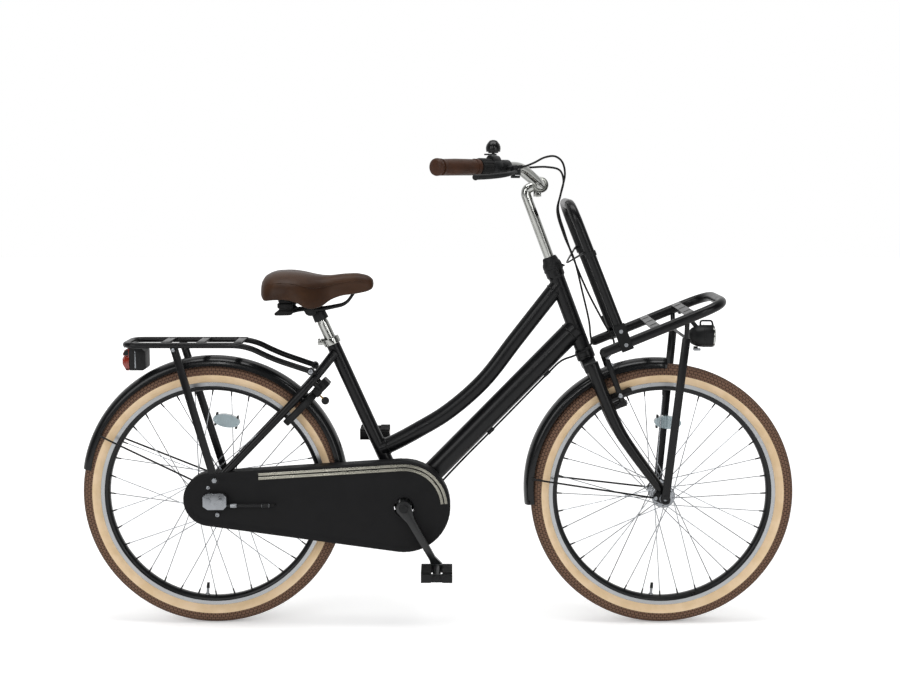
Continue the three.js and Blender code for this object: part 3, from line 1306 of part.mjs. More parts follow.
// One crank arm in its own plane, pointing along X from the spindle to the pedal's eye.
function makeArm(side) {
  const y = side > 0 ? crank.armInner + crank.armThickness : -crank.armInner;
  const outline = [];
  const round = 6;
  for (let i = 0; i <= round; i++) {
    const angle = Math.PI / 2 + Math.PI * i / round;
    outline.push([crank.bossRadius * Math.cos(angle), crank.bossRadius * Math.sin(angle)]);
  }
  for (let i = 0; i <= round; i++) {
    const angle = -Math.PI / 2 + Math.PI * i / round;
    outline.push([crank.length + crank.eyeRadius * Math.cos(angle), crank.eyeRadius * Math.sin(angle)]);
  }
  const near = [crank.length * 0.22, crank.armWidth * 0.62];
  const far = [crank.length * 0.86, crank.armWidth / 2];
  outline.splice(round + 1, 0, [near[0], -near[1]], [far[0], -far[1]]);
  outline.push(far, near);
  return plate(outline, y, crank.armThickness, crank.armThickness * 0.18);
}

function pedalSpindle(side) {
  const from = side * (crank.armInner + crank.armThickness / 2);
  const to = side * (crank.armInner + crank.armThickness + pedal.offset + pedal.width * 0.92);
  return crossRod(crank.length, 0, from, to, pedal.spindle, 10);
}

function makeRightCrank() {
  const arm = unite(makeArm(-1), pedalSpindle(-1));
  const reach = crank.armInner + crank.armThickness / 2;
  const spindle = crossRod(0, 0, -reach, reach, crank.spindleRadius, 10);
  const bossEnd = -crank.armInner - crank.armThickness / 3;
  const boss = crossRod(0, 0, -chain.line + chain.toothThickness, bossEnd, crank.bossRadius, 12);
  return unite(arm, spindle, boss, makeChainRing());
}

function makeLeftCrank() {
  const bossStart = bracketShell.halfWidth + running * 2;
  const boss = crossRod(0, 0, bossStart, crank.armInner + crank.armThickness / 3, crank.bossRadius, 12);
  const roomEnd = crank.armInner + crank.armThickness / 2 + gap;
  const room = crossRod(0, 0, bracketShell.halfWidth, roomEnd, crank.spindleRadius + gap, 10);
  return cut(unite(makeArm(1), pedalSpindle(1), boss), room);
}

const cranks = new THREE.Group();
cranks.position.copy(bracket);
cranks.rotation.y = crank.angle * degrees;
bike.add(cranks);
const leftArm = new THREE.Group();
leftArm.rotation.y = Math.PI;
cranks.add(leftArm);
add(cranks, 'crank_right', makeRightCrank(), 'black');
add(leftArm, 'crank_left', makeLeftCrank(), 'black');

// A block pedal: two ridged rubber treads held between end plates round the spindle's sleeve.
function makePedal(side) {
  const near = crank.armInner + crank.armThickness + pedal.offset;
  const far = near + pedal.width;
  const middle = side * (near + far) / 2;
  const sleeve = crossRod(0, 0, side * near, side * far, pedal.core, 10);
  const treadX = (pedal.length - pedal.tread) / 2;
  const treads = [1, -1].map((end) =>
    block(v(end * treadX, middle, 0), pedal.tread, pedal.width - pedal.tread / 2, pedal.height));
  const plates = [near + pedal.core / 3, far - pedal.core / 3].map((y) =>
    block(v(0, side * y, 0), pedal.length * 0.96, pedal.core * 0.66, pedal.height * 0.7));
  const roomEnd = side * (near + pedal.width * 0.92 + gap * 2);
  const room = crossRod(0, 0, side * (near - overrun), roomEnd, pedal.spindle + gap * 2, 12);
  const ridges = [];
  const count = 2;
  for (let i = 0; i < count; i++) {
    for (const end of [1, -1]) {
      for (const up of [1, -1]) {
        const y = side * (near + pedal.width * (i + 1) / (count + 1));
        const groove = v(end * treadX, y, up * pedal.height / 2);
        ridges.push(block(groove, pedal.tread + overrun, pedal.tread / 8, pedal.height / 6));
      }
    }
  }
  return cut(unite(sleeve, treads, plates), room, ridges);
}

// The pedals hang on the cranks' spindles; the bench angle of each is its own.
const crankEnd = (direction) => v(
  bracket.x + direction * crank.length * Math.cos(crank.angle * degrees), 0,
  bracket.z - direction * crank.length * Math.sin(crank.angle * degrees),
);
for (const [name, side, direction] of [['right', -1, 1], ['left', 1, -1]]) {
  const holder = new THREE.Group();
  holder.position.copy(crankEnd(direction));
  add(holder, `pedal_${name}`, makePedal(side), 'rubber');
  bike.add(holder);
}

function makeSprocket() {
  const y = -chain.line + chain.toothThickness / 2;
  const disc = plate(toothed(sprocketTeeth, sprocketPitch), y, chain.toothThickness);
  const driverEnd = -chain.line - chain.toothThickness;
  const driver = crossRod(0, 0, -rearHub.halfWidth - gap * 2, driverEnd, sprocketPitch * 0.7, 14);
  const room = crossRod(0, 0, 0, -dropout.inner, axleRadius + running, 12);
  return shifted(cut(unite(disc, driver), room), rearAxle.x, rearAxle.y, rearAxle.z);
}

add(bike, 'sprocket', makeSprocket(), 'steel');

// The belt line round two circles, as arcs joined by the straight runs between them.
function beltLine(big, small, steps) {
  const distance = bracket.distanceTo(rearAxle);
  const lean = Math.asin((big - small) / distance);
  const tilt = Math.atan2(bracket.z - rearAxle.z, bracket.x - rearAxle.x);
  const points = [];
  for (let i = 0; i <= steps; i++) {
    const half = Math.PI / 2 + lean;
    const angle = tilt - half + 2 * half * i / steps;
    points.push([bracket.x + big * Math.cos(angle), bracket.z + big * Math.sin(angle)]);
  }
  for (let i = 0; i <= steps; i++) {
    const half = Math.PI / 2 - lean;
    const angle = tilt + Math.PI - half + 2 * half * i / steps;
    points.push([rearAxle.x + small * Math.cos(angle), rearAxle.z + small * Math.sin(angle)]);
  }
  return points;
}

// The chain runs over the teeth with a groove inside it that they pass through.
function makeChain() {
  const steps = 12;
  const ringAt = (offset) => beltLine(ringPitch + offset, sprocketPitch + offset, steps);
  const y = -chain.line + chain.width / 2;
  const inside = plate(ringAt(-chain.half), y + overrun, chain.width + 2 * overrun);
  const band = cut(plate(ringAt(chain.half), y, chain.width), inside);
  const groove = plate(ringAt(chain.grooveDepth), -chain.line + chain.groove / 2, chain.groove);
  return cut(band, groove);
}

add(bike, 'chain', makeChain(), 'steel');

// Chain case: a dished outer shell and a flat inner border, both round the chain's belt line.
const caseLine = (inset) => beltLine(chainCase.ringRadius - inset, chainCase.rearRadius - inset, 10);
const caseInner = -chainCase.inner;
const caseOuter = -chainCase.outer;
const caseDepth = chainCase.outer - chainCase.inner;

// The dropout, the stays and the carrier's strut come in through a notch over the axle.
function caseNotch() {
  const low = rearAxle.z + dropout.reach * 0.42;
  const high = rearAxle.z + chainCase.rearRadius + overrun;
  const back = rearAxle.x - chainCase.rearRadius;
  const front = rearAxle.x + dropout.reach * 1.3;
  const inner = dropout.inner - seatStay.radius;
  const outer = chainCase.outer + overrun;
  const middle = v((back + front) / 2, -(inner + outer) / 2, (low + high) / 2);
  return block(middle, front - back, outer - inner, high - low);
}

function makeCaseOuter() {
  const edge = caseInner - gap - chainCase.wall;
  const dish = plate(caseLine(0), edge, caseDepth - gap - chainCase.wall, chainCase.round);
  const front = plate(caseLine(0), edge, caseDepth / 2);
  const inDepth = caseDepth + overrun - chainCase.wall;
  const hollow = plate(caseLine(chainCase.wall * 1.5), caseInner + overrun, inDepth);
  const pocket = plate(caseLine(chainCase.round + chainCase.wall), caseInner + overrun, inDepth);
  const through = (x, z, radius, sides) => crossRod(x, z, caseInner, caseOuter - overrun, radius, sides);
  const holes = [
    through(bracket.x, bracket.z, chainCase.hole, 16),
    through(rearAxle.x, rearAxle.z, nut.washer + running * 2, 12),
    through(shifterBox.plugEnd, rearAxle.z - dropout.reach * 0.2, shifterBox.plugRadius * 2.6, 10),
  ];
  const shell = cut(unite(dish, front), unite(cut(hollow, edgeBand()), pocket));
  return cut(shell, holes, caseNotch());
}

// The outer edge keeps its thickness where the shell is rounded.
function edgeBand() {
  const band = plate(caseLine(-overrun), caseOuter + chainCase.round, chainCase.round + overrun);
  const y = caseOuter + chainCase.round + overrun;
  return cut(band, plate(caseLine(chainCase.round + chainCase.wall), y, chainCase.round + overrun * 3));
}

function makeCaseInner() {
  const border = plate(caseLine(0), caseInner, chainCase.wall);
  const middle = plate(caseLine(chainCase.border), caseInner + overrun, chainCase.wall + overrun * 2);
  const backFace = caseInner - chainCase.wall;
  const shellFace = -bracketShell.halfWidth - gap;
  const collar = crossRod(bracket.x, bracket.z, shellFace, backFace, chainCase.collar, 12);
  const reach = chainCase.ringRadius - chainCase.border / 2;
  const armMiddle = v(bracket.x, (caseInner + backFace) / 2, bracket.z - reach / 2);
  const arm = block(armMiddle, chainCase.border, chainCase.wall, reach);
  const hole = crossRod(bracket.x, bracket.z, 0, backFace - overrun, crank.spindleRadius + running * 2, 12);
  const stay = taper(smooth(chainStayPoints(-1), 4), chainStay.radius + gap, chainStay.endRadius + gap);
  return cut(unite(cut(border, middle), cut(collar, stay, shifted(stay, gap, 0, 0)), arm), hole);
}

// A bright double strip along the top edge and round the front.
function makeCaseTrim() {
  const y = caseOuter - gap;
  const strip = (from, to) => cut(
    plate(caseLine(from), y, chainCase.trimThickness),
    plate(caseLine(to), y + overrun, chainCase.trimThickness + overrun * 2),
  );
  const start = chainCase.round + chainCase.trimInset;
  const ring = strip(start, start + chainCase.trimWidth);
  const size = chainCase.ringRadius * 4;
  const under = block(v(bracket.x, y, bracket.z - size / 2), size * 4, size, size);
  const behind = block(v(chainCase.trimStart - size / 2, y, bracket.z), size, size, size);
  return cut(ring, under, behind);
}

add(bike, 'chaincase_outer', makeCaseOuter(), 'black');
add(bike, 'chaincase_inner', makeCaseInner(), 'satin');
add(bike, 'chaincase_trim', makeCaseTrim(), 'chrome');

// The hub gear's shift box sits over the right axle nut, with the cable's plug in front of it.
function makeShifterBox() {
  const nutEnd = dropoutFace + nut.washerThickness * 2 + nut.thickness;
  const y = -Math.max(nutEnd, chainCase.outer) - gap;
  const shares = [
    [-0.5, -0.3], [-0.5, 0.3], [-0.3, 0.5], [0.36, 0.5], [0.5, 0.3], [0.5, -0.3], [0.36, -0.5], [-0.3, -0.5],
  ];
  const outline = shares.map(([x, z]) =>
    [shifterBox.x + x * shifterBox.length, rearAxle.z + z * shifterBox.height]);
  const box = plate(outline, y, shifterBox.thickness, shifterBox.thickness * 0.15);
  const plugY = y - shifterBox.thickness / 2;
  const plug = rod(v(shifterBox.x, plugY, rearAxle.z - dropout.reach * 0.2),
    v(shifterBox.plugEnd - overrun, plugY, rearAxle.z - dropout.reach * 0.2), shifterBox.plugRadius);
  return unite(box, plug);
}

add(bike, 'hub_shifter_box', makeShifterBox(), 'aluminium');

// Ring lock, in its own frame: X runs out from the rear axle, Y across and Z off its plane.
const lockGroup = new THREE.Group();
lockGroup.position.copy(rearAxle);
lockGroup.rotation.y = -lock.angle * degrees;
bike.add(lockGroup);
const lockPlane = new THREE.Matrix4().makeTranslation(rearAxle.x, rearAxle.y, rearAxle.z)
  .multiply(new THREE.Matrix4().makeRotationY(lockGroup.rotation.y));
const lockInverse = lockPlane.clone().invert();

// Points round the lock's ring; an angle of zero points away from the axle.
function ringArc(radius, from, to, steps) {
  const points = [];
  for (let i = 0; i <= steps; i++) {
    const angle = (from + (to - from) * i / steps) * degrees;
    points.push(v(lock.centre + radius * Math.cos(angle), radius * Math.sin(angle), 0));
  }
  return points;
}

function flatBand(inner, outer, from, to, thickness, steps) {
  const line = [...ringArc(outer, from, to, steps), ...ringArc(inner, to, from, steps)];
  const shape = new THREE.Shape(line.map((p) => new THREE.Vector2(p.x, p.y)));
  const geometry = new THREE.ExtrudeGeometry(shape, { depth: thickness, bevelEnabled: false });
  geometry.translate(0, 0, -thickness / 2);
  return toSolid(geometry);
}

const lockReach = 180 - lock.mouthAngle;
const shackleSpan = lock.mouthAngle * 2 + lock.overlapAngle;

function makeLockHousing() {
  const { ring, thickness } = lock;
  const band = flatBand(ring - lock.band, ring + lock.band, -lockReach, lockReach, thickness, 12);
  const bodyFoot = lock.centre + ring;
  const bodyMiddle = v((bodyFoot + lock.bodyTop) / 2, 0, 0);
  const body = block(bodyMiddle, lock.bodyTop - bodyFoot, lock.bodyHalf * 2, thickness * 1.2);
  const past = lockReach + lock.knobAngle;
  const channel = tube(ringArc(ring, -past, past, 22), lock.shackle + running, 8);
  const slotStart = lockReach - shackleSpan;
  const slot = flatBand(ring, ring + lock.band + overrun, slotStart, past, lock.slot * 2 + running, 8);
  const bars = [1, -1].map((side) => {
    const stay = seatStayPoints(side)[1].applyMatrix4(lockInverse);
    const root = v(stay.x, Math.sign(stay.y) * Math.min(Math.abs(stay.y), lock.bodyHalf), 0);
    return rod(root, stay, lock.band * 0.7);
  });
  const rooms = [1, -1].map((side) => moved(seatStayRoom(side), lockInverse));
  const keyFoot = v(lock.keyAt, lock.keyY, 0);
  const keyHole = rod(keyFoot.clone().add(v(0, 0, -thickness)), keyFoot, lock.keyRadius + gap * 2);
  return cut(unite(band, cut(unite(body, bars), rooms)), channel, slot, keyHole);
}

function makeShackle() {
  const end = lockReach - lock.endAngle;
  const arcLine = ringArc(lock.ring, end - shackleSpan, end, 8);
  const knobAt = end - shackleSpan + lock.knobAngle;
  const [knobFoot] = ringArc(lock.ring, knobAt, knobAt, 1);
  const out = knobFoot.clone().sub(v(lock.centre, 0, 0)).normalize();
  const knobEnd = knobFoot.clone().addScaledVector(out, lock.band * 2.2);
  const knob = ball(knobEnd, lock.slot * 2);
  return unite(tube(arcLine, lock.shackle, 8), rod(knobFoot, knobEnd, lock.slot), knob);
}

function makeKey() {
  const foot = v(lock.keyAt, lock.keyY, -lock.thickness * 0.3);
  const end = foot.clone().add(v(0, 0, -lock.keyLength));
  const disc = new THREE.CylinderGeometry(lock.keyBow, lock.keyBow, lock.keyRadius * 1.6, 14);
  const bow = shifted(toSolid(disc), end.x, end.y, end.z - lock.keyBow * 0.8);
  return unite(rod(foot, end, lock.keyRadius), bow);
}

add(lockGroup, 'ring_lock_housing', makeLockHousing(), 'satin');
add(lockGroup, 'ring_lock_shackle', makeShackle(), 'steel');
add(lockGroup, 'ring_lock_key', makeKey(), 'steel');

// Cables: each point is chosen by hand along the cable's way, as shares of the wheelbase
// forwards, to the left and up from the ground under the rear axle.
const brakeCableShares = [
  [0.67186, -0.1631, 1.01908], [0.68452, -0.15287, 1.02142], [0.70302, -0.13437, 1.02824],
  [0.72833, -0.10127, 1.03992], [0.75268, -0.07011, 1.04187], [0.7702, -0.04382, 1.02824],
  [0.77605, -0.03116, 1.00292], [0.76826, -0.02532, 0.96397], [0.76241, -0.02337, 0.92989],
  [0.77702, -0.02337, 0.87634], [0.79552, -0.02337, 0.82376], [0.82765, -0.02142, 0.74976],
  [0.86368, -0.02142, 0.6816], [0.88705, -0.02726, 0.63778], [0.88218, -0.03895, 0.61733],
  [0.86991, -0.04284, 0.60166],
];
const gearCableUpperShares = [
  [0.60438, -0.1555, 1.02337], [0.63096, -0.12463, 1.02337], [0.65823, -0.09542, 1.02045],
  [0.69328, -0.07011, 1.0185], [0.73515, -0.05258, 1.01947], [0.76339, -0.04674, 1.01266],
  [0.77215, -0.04284, 0.99124], [0.76631, -0.03895, 0.9591], [0.75949, -0.037, 0.92502],
  [0.77507, -0.03505, 0.87147], [0.79747, -0.03311, 0.81986], [0.81597, -0.02921, 0.74976],
  [0.83252, -0.0224, 0.6816], [0.83642, -0.01655, 0.65044],
];
const gearCableLowerShares = [
  [0.83681, -0.01616, 0.64849], [0.83836, -0.01947, 0.63486], [0.82765, -0.02629, 0.62025],
  [0.80039, -0.02532, 0.60662], [0.77313, -0.01363, 0.59396], [0.74197, 0, 0.56183], [0.67965, 0, 0.49757],
  [0.61733, 0, 0.4333], [0.56183, 0, 0.37683], [0.50633, -0.00779, 0.3184], [0.46543, -0.02142, 0.26874],
  [0.43622, -0.02629, 0.24927], [0.38948, -0.02532, 0.25122], [0.34275, -0.03116, 0.25414],
  [0.29211, -0.04284, 0.25901], [0.22395, -0.05258, 0.26582], [0.17916, -0.0594, 0.27653],
  [0.15579, -0.06426, 0.28238], [0.14411, -0.07303, 0.28335], [0.14021, -0.08277, 0.28335],
  [0.13359, -0.08549, 0.28335],
];

const cable = (shares, steps) =>
  tube(smooth(shares.map((share) => v(...share).multiplyScalar(wheelbase)), steps), cableRadius, 5);

add(bike, 'brake_cable', cable(brakeCableShares, 14), 'rubber');
add(bike, 'gear_cable_upper', cable(gearCableUpperShares, 14), 'rubber');
add(bike, 'gear_cable_lower', cable(gearCableLowerShares, 22), 'rubber');

bike.position.x = -wheelbase / 2;
bike.updateMatrixWorld(true);

export default bike;
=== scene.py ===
import math

import bmesh
import bpy
from mathutils import Matrix, Vector


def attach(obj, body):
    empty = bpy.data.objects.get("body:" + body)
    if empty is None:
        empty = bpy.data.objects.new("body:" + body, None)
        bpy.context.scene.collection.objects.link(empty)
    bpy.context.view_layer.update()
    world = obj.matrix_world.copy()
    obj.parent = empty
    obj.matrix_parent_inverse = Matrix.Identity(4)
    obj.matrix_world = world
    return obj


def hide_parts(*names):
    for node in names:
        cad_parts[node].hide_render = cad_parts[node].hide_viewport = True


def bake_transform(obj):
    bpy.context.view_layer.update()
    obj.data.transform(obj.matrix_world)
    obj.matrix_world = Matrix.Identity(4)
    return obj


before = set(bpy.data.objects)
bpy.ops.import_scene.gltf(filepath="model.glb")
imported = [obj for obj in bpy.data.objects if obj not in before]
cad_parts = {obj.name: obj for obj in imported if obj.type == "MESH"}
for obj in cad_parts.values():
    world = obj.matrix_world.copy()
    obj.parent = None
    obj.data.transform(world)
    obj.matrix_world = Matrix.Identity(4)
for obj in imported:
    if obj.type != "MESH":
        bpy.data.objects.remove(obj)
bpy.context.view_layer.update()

# All sizes below are in millimetres in the drawing's own frame: X forwards from the rear axle,
# Y to the rider's left, Z up from the ground. metres() turns a point into the scene's frame.
MM = 0.001
WHEELBASE = 1027.0


def metres(p):
    return ((p[0] - WHEELBASE / 2) * MM, p[1] * MM, p[2] * MM)


def vec(x, y, z):
    return Vector((x, y, z))


# Materials

# In millimetres. Real rub marks are finer, and these are drawn wide enough to show in the picture.
RUB_MARK_WIDTH = 16.7


def linear(code, alpha=1.0):
    """An sRGB hex colour as linear values."""
    out = []
    for i in (1, 3, 5):
        c = int(code[i:i + 2], 16) / 255
        out.append(c / 12.92 if c <= 0.04045 else ((c + 0.055) / 1.055) ** 2.4)
    return (*out, alpha)


def node(tree, kind, settings=None, **links):
    """Adds one shader node, with its settings and its links. i0, i1 and so on name a socket by its number."""
    made = tree.nodes.new("ShaderNode" + kind)
    for key, value in (settings or {}).items():
        if isinstance(key, int) or key in made.inputs:
            made.inputs[key].default_value = value
        else:
            setattr(made, key, value)
    for key, source in links.items():
        name = key.replace("_", " ")
        target = made.inputs[int(key[1:])] if key[0] == "i" and key[1:].isdigit() else made.inputs[name]
        tree.links.new(source, target)
    return made


def ramp(tree, source, stops):
    """A blend of colours along a value."""
    made = node(tree, "ValToRGB", Fac=source)
    band = made.color_ramp
    while len(band.elements) < len(stops):
        band.elements.new(0.5)
    for element, (at, colour) in zip(band.elements, stops):
        element.position = at
        element.color = colour
    return made.outputs["Color"]


def per_width(width):
    """A texture's scale for a pattern whose features are this many millimetres wide."""
    return 1 / (width * MM)


def finish(name, colour, rough=0.4, metal=0.0, grain=0.0, grain_width=2.5, spots=0.12, coat=0.0,
           coat_rough=0.1, second=None, patch_width=33.3, slot="", scratches=0.0, glow=0.0, through=0.0,
           ior=1.45, shine=0.5):
    """One surface: a colour that drifts a little, uneven roughness and a fine grain.

    grain is the grain's depth. Like grain_width and patch_width, it is in millimetres. The grain is drawn
    coarser than the real one, which the picture is too small to show.
    """
    mat = bpy.data.materials.new(name)
    mat.use_nodes = True
    tree = mat.node_tree
    shader = tree.nodes["Principled BSDF"]
    where = node(tree, "TexCoord").outputs["Object"]
    broad = node(tree, "TexNoise", {"Scale": per_width(patch_width), "Detail": 4.0, "Roughness": 0.6},
                 Vector=where).outputs["Fac"]
    base = linear(colour)
    other = linear(second) if second else tuple(c * 0.82 for c in base[:3]) + (1.0,)
    tree.links.new(ramp(tree, broad, [(0.36, other), (0.64, base)]), shader.inputs["Base Color"])
    low, high = max(rough - spots * rough, 0.02), min(rough + spots * rough, 1.0)
    uneven = node(tree, "MapRange", {"From Min": 0.3, "From Max": 0.7, "To Min": low, "To Max": high},
                  Value=broad)
    level = uneven.outputs["Result"]
    if scratches:
        lines = node(tree, "TexNoise", {"Scale": per_width(RUB_MARK_WIDTH), "Detail": 8.0, "Distortion": 3.0},
                     Vector=where).outputs["Fac"]
        worn = node(tree, "MapRange", {"From Min": 0.62, "From Max": 0.7, "To Min": 0.0, "To Max": scratches},
                    Value=lines)
        level = node(tree, "Math", {"operation": "ADD"}, i0=level, i1=worn.outputs["Result"]).outputs["Value"]
    tree.links.new(level, shader.inputs["Roughness"])
    shader.inputs["Metallic"].default_value = metal
    shader.inputs["Coat Weight"].default_value = coat
    shader.inputs["Coat Roughness"].default_value = coat_rough
    shader.inputs["Specular IOR Level"].default_value = shine
    shader.inputs["Transmission Weight"].default_value = through
    if metal < 1.0:
        shader.inputs["IOR"].default_value = ior
    if glow:
        shader.inputs["Emission Color"].default_value = base
        shader.inputs["Emission Strength"].default_value = glow
    if grain:
        fine = node(tree, "TexNoise", {"Scale": per_width(grain_width), "Detail": 3.0},
                    Vector=where).outputs["Fac"]
        bump = node(tree, "Bump", {"Strength": 1.0, "Distance": grain * MM}, Height=fine)
        tree.links.new(bump.outputs["Normal"], shader.inputs["Normal"])
    mat["slot"] = slot
    return mat


# Stove enamel on steel tube: near black, with a soft sheen and a few rub marks.
ENAMEL = finish("satin black enamel", "#0a0b0c", 0.3, grain=0.04, grain_width=1.1, coat=0.12, coat_rough=0.15,
                second="#08080a", slot="black_enamel", scratches=0.05, shine=0.25)
# Glossier enamel on rolled steel strip: a clear highlight along the mudguard's crown.
GUARD = finish("black mudguard enamel", "#0e0f10", 0.24, grain=0.03, coat=0.25, coat_rough=0.12,
               slot="black_enamel", shine=0.25)
# Matt lacquer on a pressed cover: flat black that hardly shines.
CASE = finish("matt black chain case", "#161617", 0.55, grain=0.12, grain_width=0.77, second="#131314",
              slot="black_enamel", shine=0.15)
# Moulded ABS plastic: black, with the fine grain of its mould.
PLASTIC = finish("black moulded plastic", "#101112", 0.45, grain=0.1, grain_width=0.67, slot="satin_black",
                 shine=0.3)
# Moulded rubber: dull black without a clear reflection.
RUBBER = finish("black rubber", "#101010", 0.75, grain=0.2, grain_width=0.91, slot="rubber", shine=0.35)
# Chrome plate on polished steel: a slightly warm mirror.
CHROME = finish("polished chrome", "#bcbdb9", 0.12, 1.0, spots=0.15, patch_width=71.4, second="#abaca8",
                slot="chrome")
# Brushed aluminium: grey, with blurred reflections.
ALLOY = finish("brushed alloy", "#9a9da1", 0.3, 1.0, grain=0.04, grain_width=1.43, spots=0.3,
               slot="aluminium")
# Zinc plate on nuts and small steel parts: dull silver with uneven patches.
ZINC = finish("zinc plated steel", "#9c9fa3", 0.36, 1.0, grain=0.04, spots=0.4, patch_width=11.1,
              slot="zinc_steel")
# Drawn stainless wire: thin, clean and bright.
SPOKE = finish("stainless spoke wire", "#a9acb0", 0.25, 1.0, slot="aluminium")
# Rolled strip, polished: warm grey lines on the black cover.
TRIM = finish("polished trim strip", "#8e8c82", 0.28, 1.0, spots=0.2, slot="chrome")
# Blackened brass: dark ends where the spokes meet the rim.
NIPPLE = finish("black spoke nipple", "#17181a", 0.3, 0.5, slot="black_enamel")
# Aluminium turned on a lathe: a pale ring beside the tyre.
TRACK = finish("machined brake track", "#b9bbbd", 0.28, 1.0, spots=0.35, patch_width=100.0, slot="aluminium")
# Anodised aluminium: black with a slight sheen of metal.
RIM = finish("black anodised rim", "#0d0e0f", 0.3, 0.2, slot="black_enamel")
# Natural rubber over the tyre's casing: matt cream.
SKIN = finish("cream tyre sidewall", "#d6bd9c", 0.7, grain=0.18, grain_width=1.43, second="#ccb18c",
              slot="tyre_brown")
# Clear acrylic moulded with small prisms: a cool grey with sharp glints.
REFLECT = finish("prism reflector", "#93a3a8", 0.12, 0.2, coat=1.0, coat_rough=0.03, slot="reflector_plastic")
# Clear polycarbonate: the lamp's inside shows through.
GLASS = finish("clear lamp lens", "#eef2f4", 0.05, through=0.85, ior=1.49, slot="lamp_glass")
# Red acrylic: deep red with a hard gloss.
RED = finish("red lamp lens", "#8a2716", 0.12, through=0.2, coat=1.0, coat_rough=0.04, slot="red_lens",
             glow=0.03)
# Vacuum-plated bowl behind the lens: a clean mirror.
MIRROR = finish("lamp reflector", "#eceef0", 0.06, 1.0, slot="chrome")
# Plain brass: the key's blade.
BRASS = finish("key brass", "#b08d4c", 0.3, 1.0, slot="zinc_steel")
# Enamel on forged cranks: black with more rub marks than the frame.
CRANKS = finish("black crank enamel", "#121314", 0.3, coat=0.3, coat_rough=0.2, slot="black_enamel",
                scratches=0.1)
# Amber acrylic: the small warm bars in front of and behind each pedal's axle.
AMBER = finish("amber pedal reflector", "#c9731f", 0.2, coat=1.0, coat_rough=0.05, slot="rubber")


def leather(name, colour, dark, pore_width, slot):
    """Finished leather: a warm brown with pores in it, drawn coarser than real ones. pore_width is in mm."""
    mat = finish(name, colour, 0.42, second=dark, patch_width=83.3, slot=slot, shine=0.28)
    tree = mat.node_tree
    shader = tree.nodes["Principled BSDF"]
    where = node(tree, "TexCoord").outputs["Object"]
    cells = node(tree, "TexVoronoi", {"Scale": per_width(pore_width), "feature": "F1"},
                 Vector=where).outputs["Distance"]
    fine = node(tree, "TexNoise", {"Scale": per_width(pore_width / 3), "Detail": 5.0},
                Vector=where).outputs["Fac"]
    height = node(tree, "Math", {"operation": "MULTIPLY"}, i0=cells, i1=fine).outputs["Value"]
    bump = node(tree, "Bump", {"Strength": 0.5, "Distance": 0.6 * MM}, Height=height)
    tree.links.new(bump.outputs["Normal"], shader.inputs["Normal"])
    return mat


SADDLE = leather("brown saddle leather", "#3a220e", "#2a1607", 1.61, "saddle_leather")
GRIP = leather("stitched grip leather", "#3e2211", "#2b170b", 1.11, "grip_leather")


def tread_rubber():
    """Moulded brown rubber with rows of small blocks, one to each unit of the tyre's UV map, and painted
    shade in the grooves between them.

    make_tyre puts 190 round the tyre and 13 over it, so each is about 10 mm long and 6 mm wide.
    """
    mat = finish("brown tyre tread", "#54392a", 0.82, second="#452e21", patch_width=16.7, slot="tyre_brown",
                 shine=0.3)
    tree = mat.node_tree
    shader = tree.nodes["Principled BSDF"]
    where = node(tree, "TexCoord").outputs["UV"]
    bricks = node(tree, "TexBrick", {
        "Scale": 1.0, "Mortar Size": 0.09, "Mortar Smooth": 0.2, "Brick Width": 1.0, "Row Height": 1.0,
        "Color1": (1, 1, 1, 1), "Color2": (0.86, 0.86, 0.86, 1), "Mortar": (0, 0, 0, 1),
    }, Vector=where)
    grain = node(tree, "TexNoise", {"Scale": 2.5, "Detail": 4.0}, Vector=where).outputs["Fac"]
    height = node(tree, "Math", {"operation": "ADD"}, i0=bricks.outputs["Color"],
                  i1=node(tree, "Math", {"operation": "MULTIPLY", 1: 0.25}, i0=grain).outputs["Value"])
    bump = node(tree, "Bump", {"Strength": 0.9, "Distance": 1.6 * MM}, Height=height.outputs["Value"])
    tree.links.new(bump.outputs["Normal"], shader.inputs["Normal"])
    # The grooves between the blocks get a darker brown than the blocks: painted shade in the grooves.
    painted_groove_shade = ramp(tree, bricks.outputs["Color"], [(0.0, linear("#2c2019")), (0.55, linear("#6a5040"))])
    tree.links.new(painted_groove_shade, shader.inputs["Base Color"])
    return mat


TREAD = tread_rubber()


# Shapes: each returns (points, faces) in millimetres

def frames(points):
    """The direction and two normals at each point of a line, carried along without a twist."""
    tangents = []
    for i in range(len(points)):
        a = points[max(i - 1, 0)]
        b = points[min(i + 1, len(points) - 1)]
        tangents.append((b - a).normalized())
    t = tangents[0]
    normal = t.cross(vec(0, 0, 1)) if abs(t.z) < 0.9 else t.cross(vec(0, 1, 0))
    normal.normalize()
    out = []
    for i, t in enumerate(tangents):
        if i:
            normal = (normal - t * normal.dot(t)).normalized()
        out.append((t, normal, t.cross(normal)))
    return out


def skin(rings, closed=False, caps=True):
    """Rings with the same number of points, joined side by side."""
    count = len(rings[0])
    points = [p for ring in rings for p in ring]
    faces = []
    spans = len(rings) if closed else len(rings) - 1
    for i in range(spans):
        j = (i + 1) % len(rings)
        for k in range(count):
            m = (k + 1) % count
            faces.append((i * count + k, i * count + m, j * count + m, j * count + k))
    if caps and not closed:
        faces.append(tuple(range(count))[::-1])
        last = (len(rings) - 1) * count
        faces.append(tuple(range(last, last + count)))
    return points, faces


def tube(points, radius, sides=40, flat=1.0):
    """A round section along a line. A pair of radii tapers it, and flat squashes one way."""
    points = [Vector(p) for p in points]
    sizes = radius if isinstance(radius, (list, tuple)) else [radius] * len(points)
    if len(sizes) == 2 and len(points) > 2:
        a, b = sizes
        sizes = [a + (b - a) * i / (len(points) - 1) for i in range(len(points))]
    rings = []
    for p, size, (_, n, b) in zip(points, sizes, frames(points)):
        rings.append([p + n * size * math.cos(turn) + b * size * flat * math.sin(turn)
                      for turn in (2 * math.pi * k / sides for k in range(sides))])
    return skin(rings)


def rod(a, b, radius, end=None, sides=32):
    return tube([a, b], [radius, radius if end is None else end], sides)


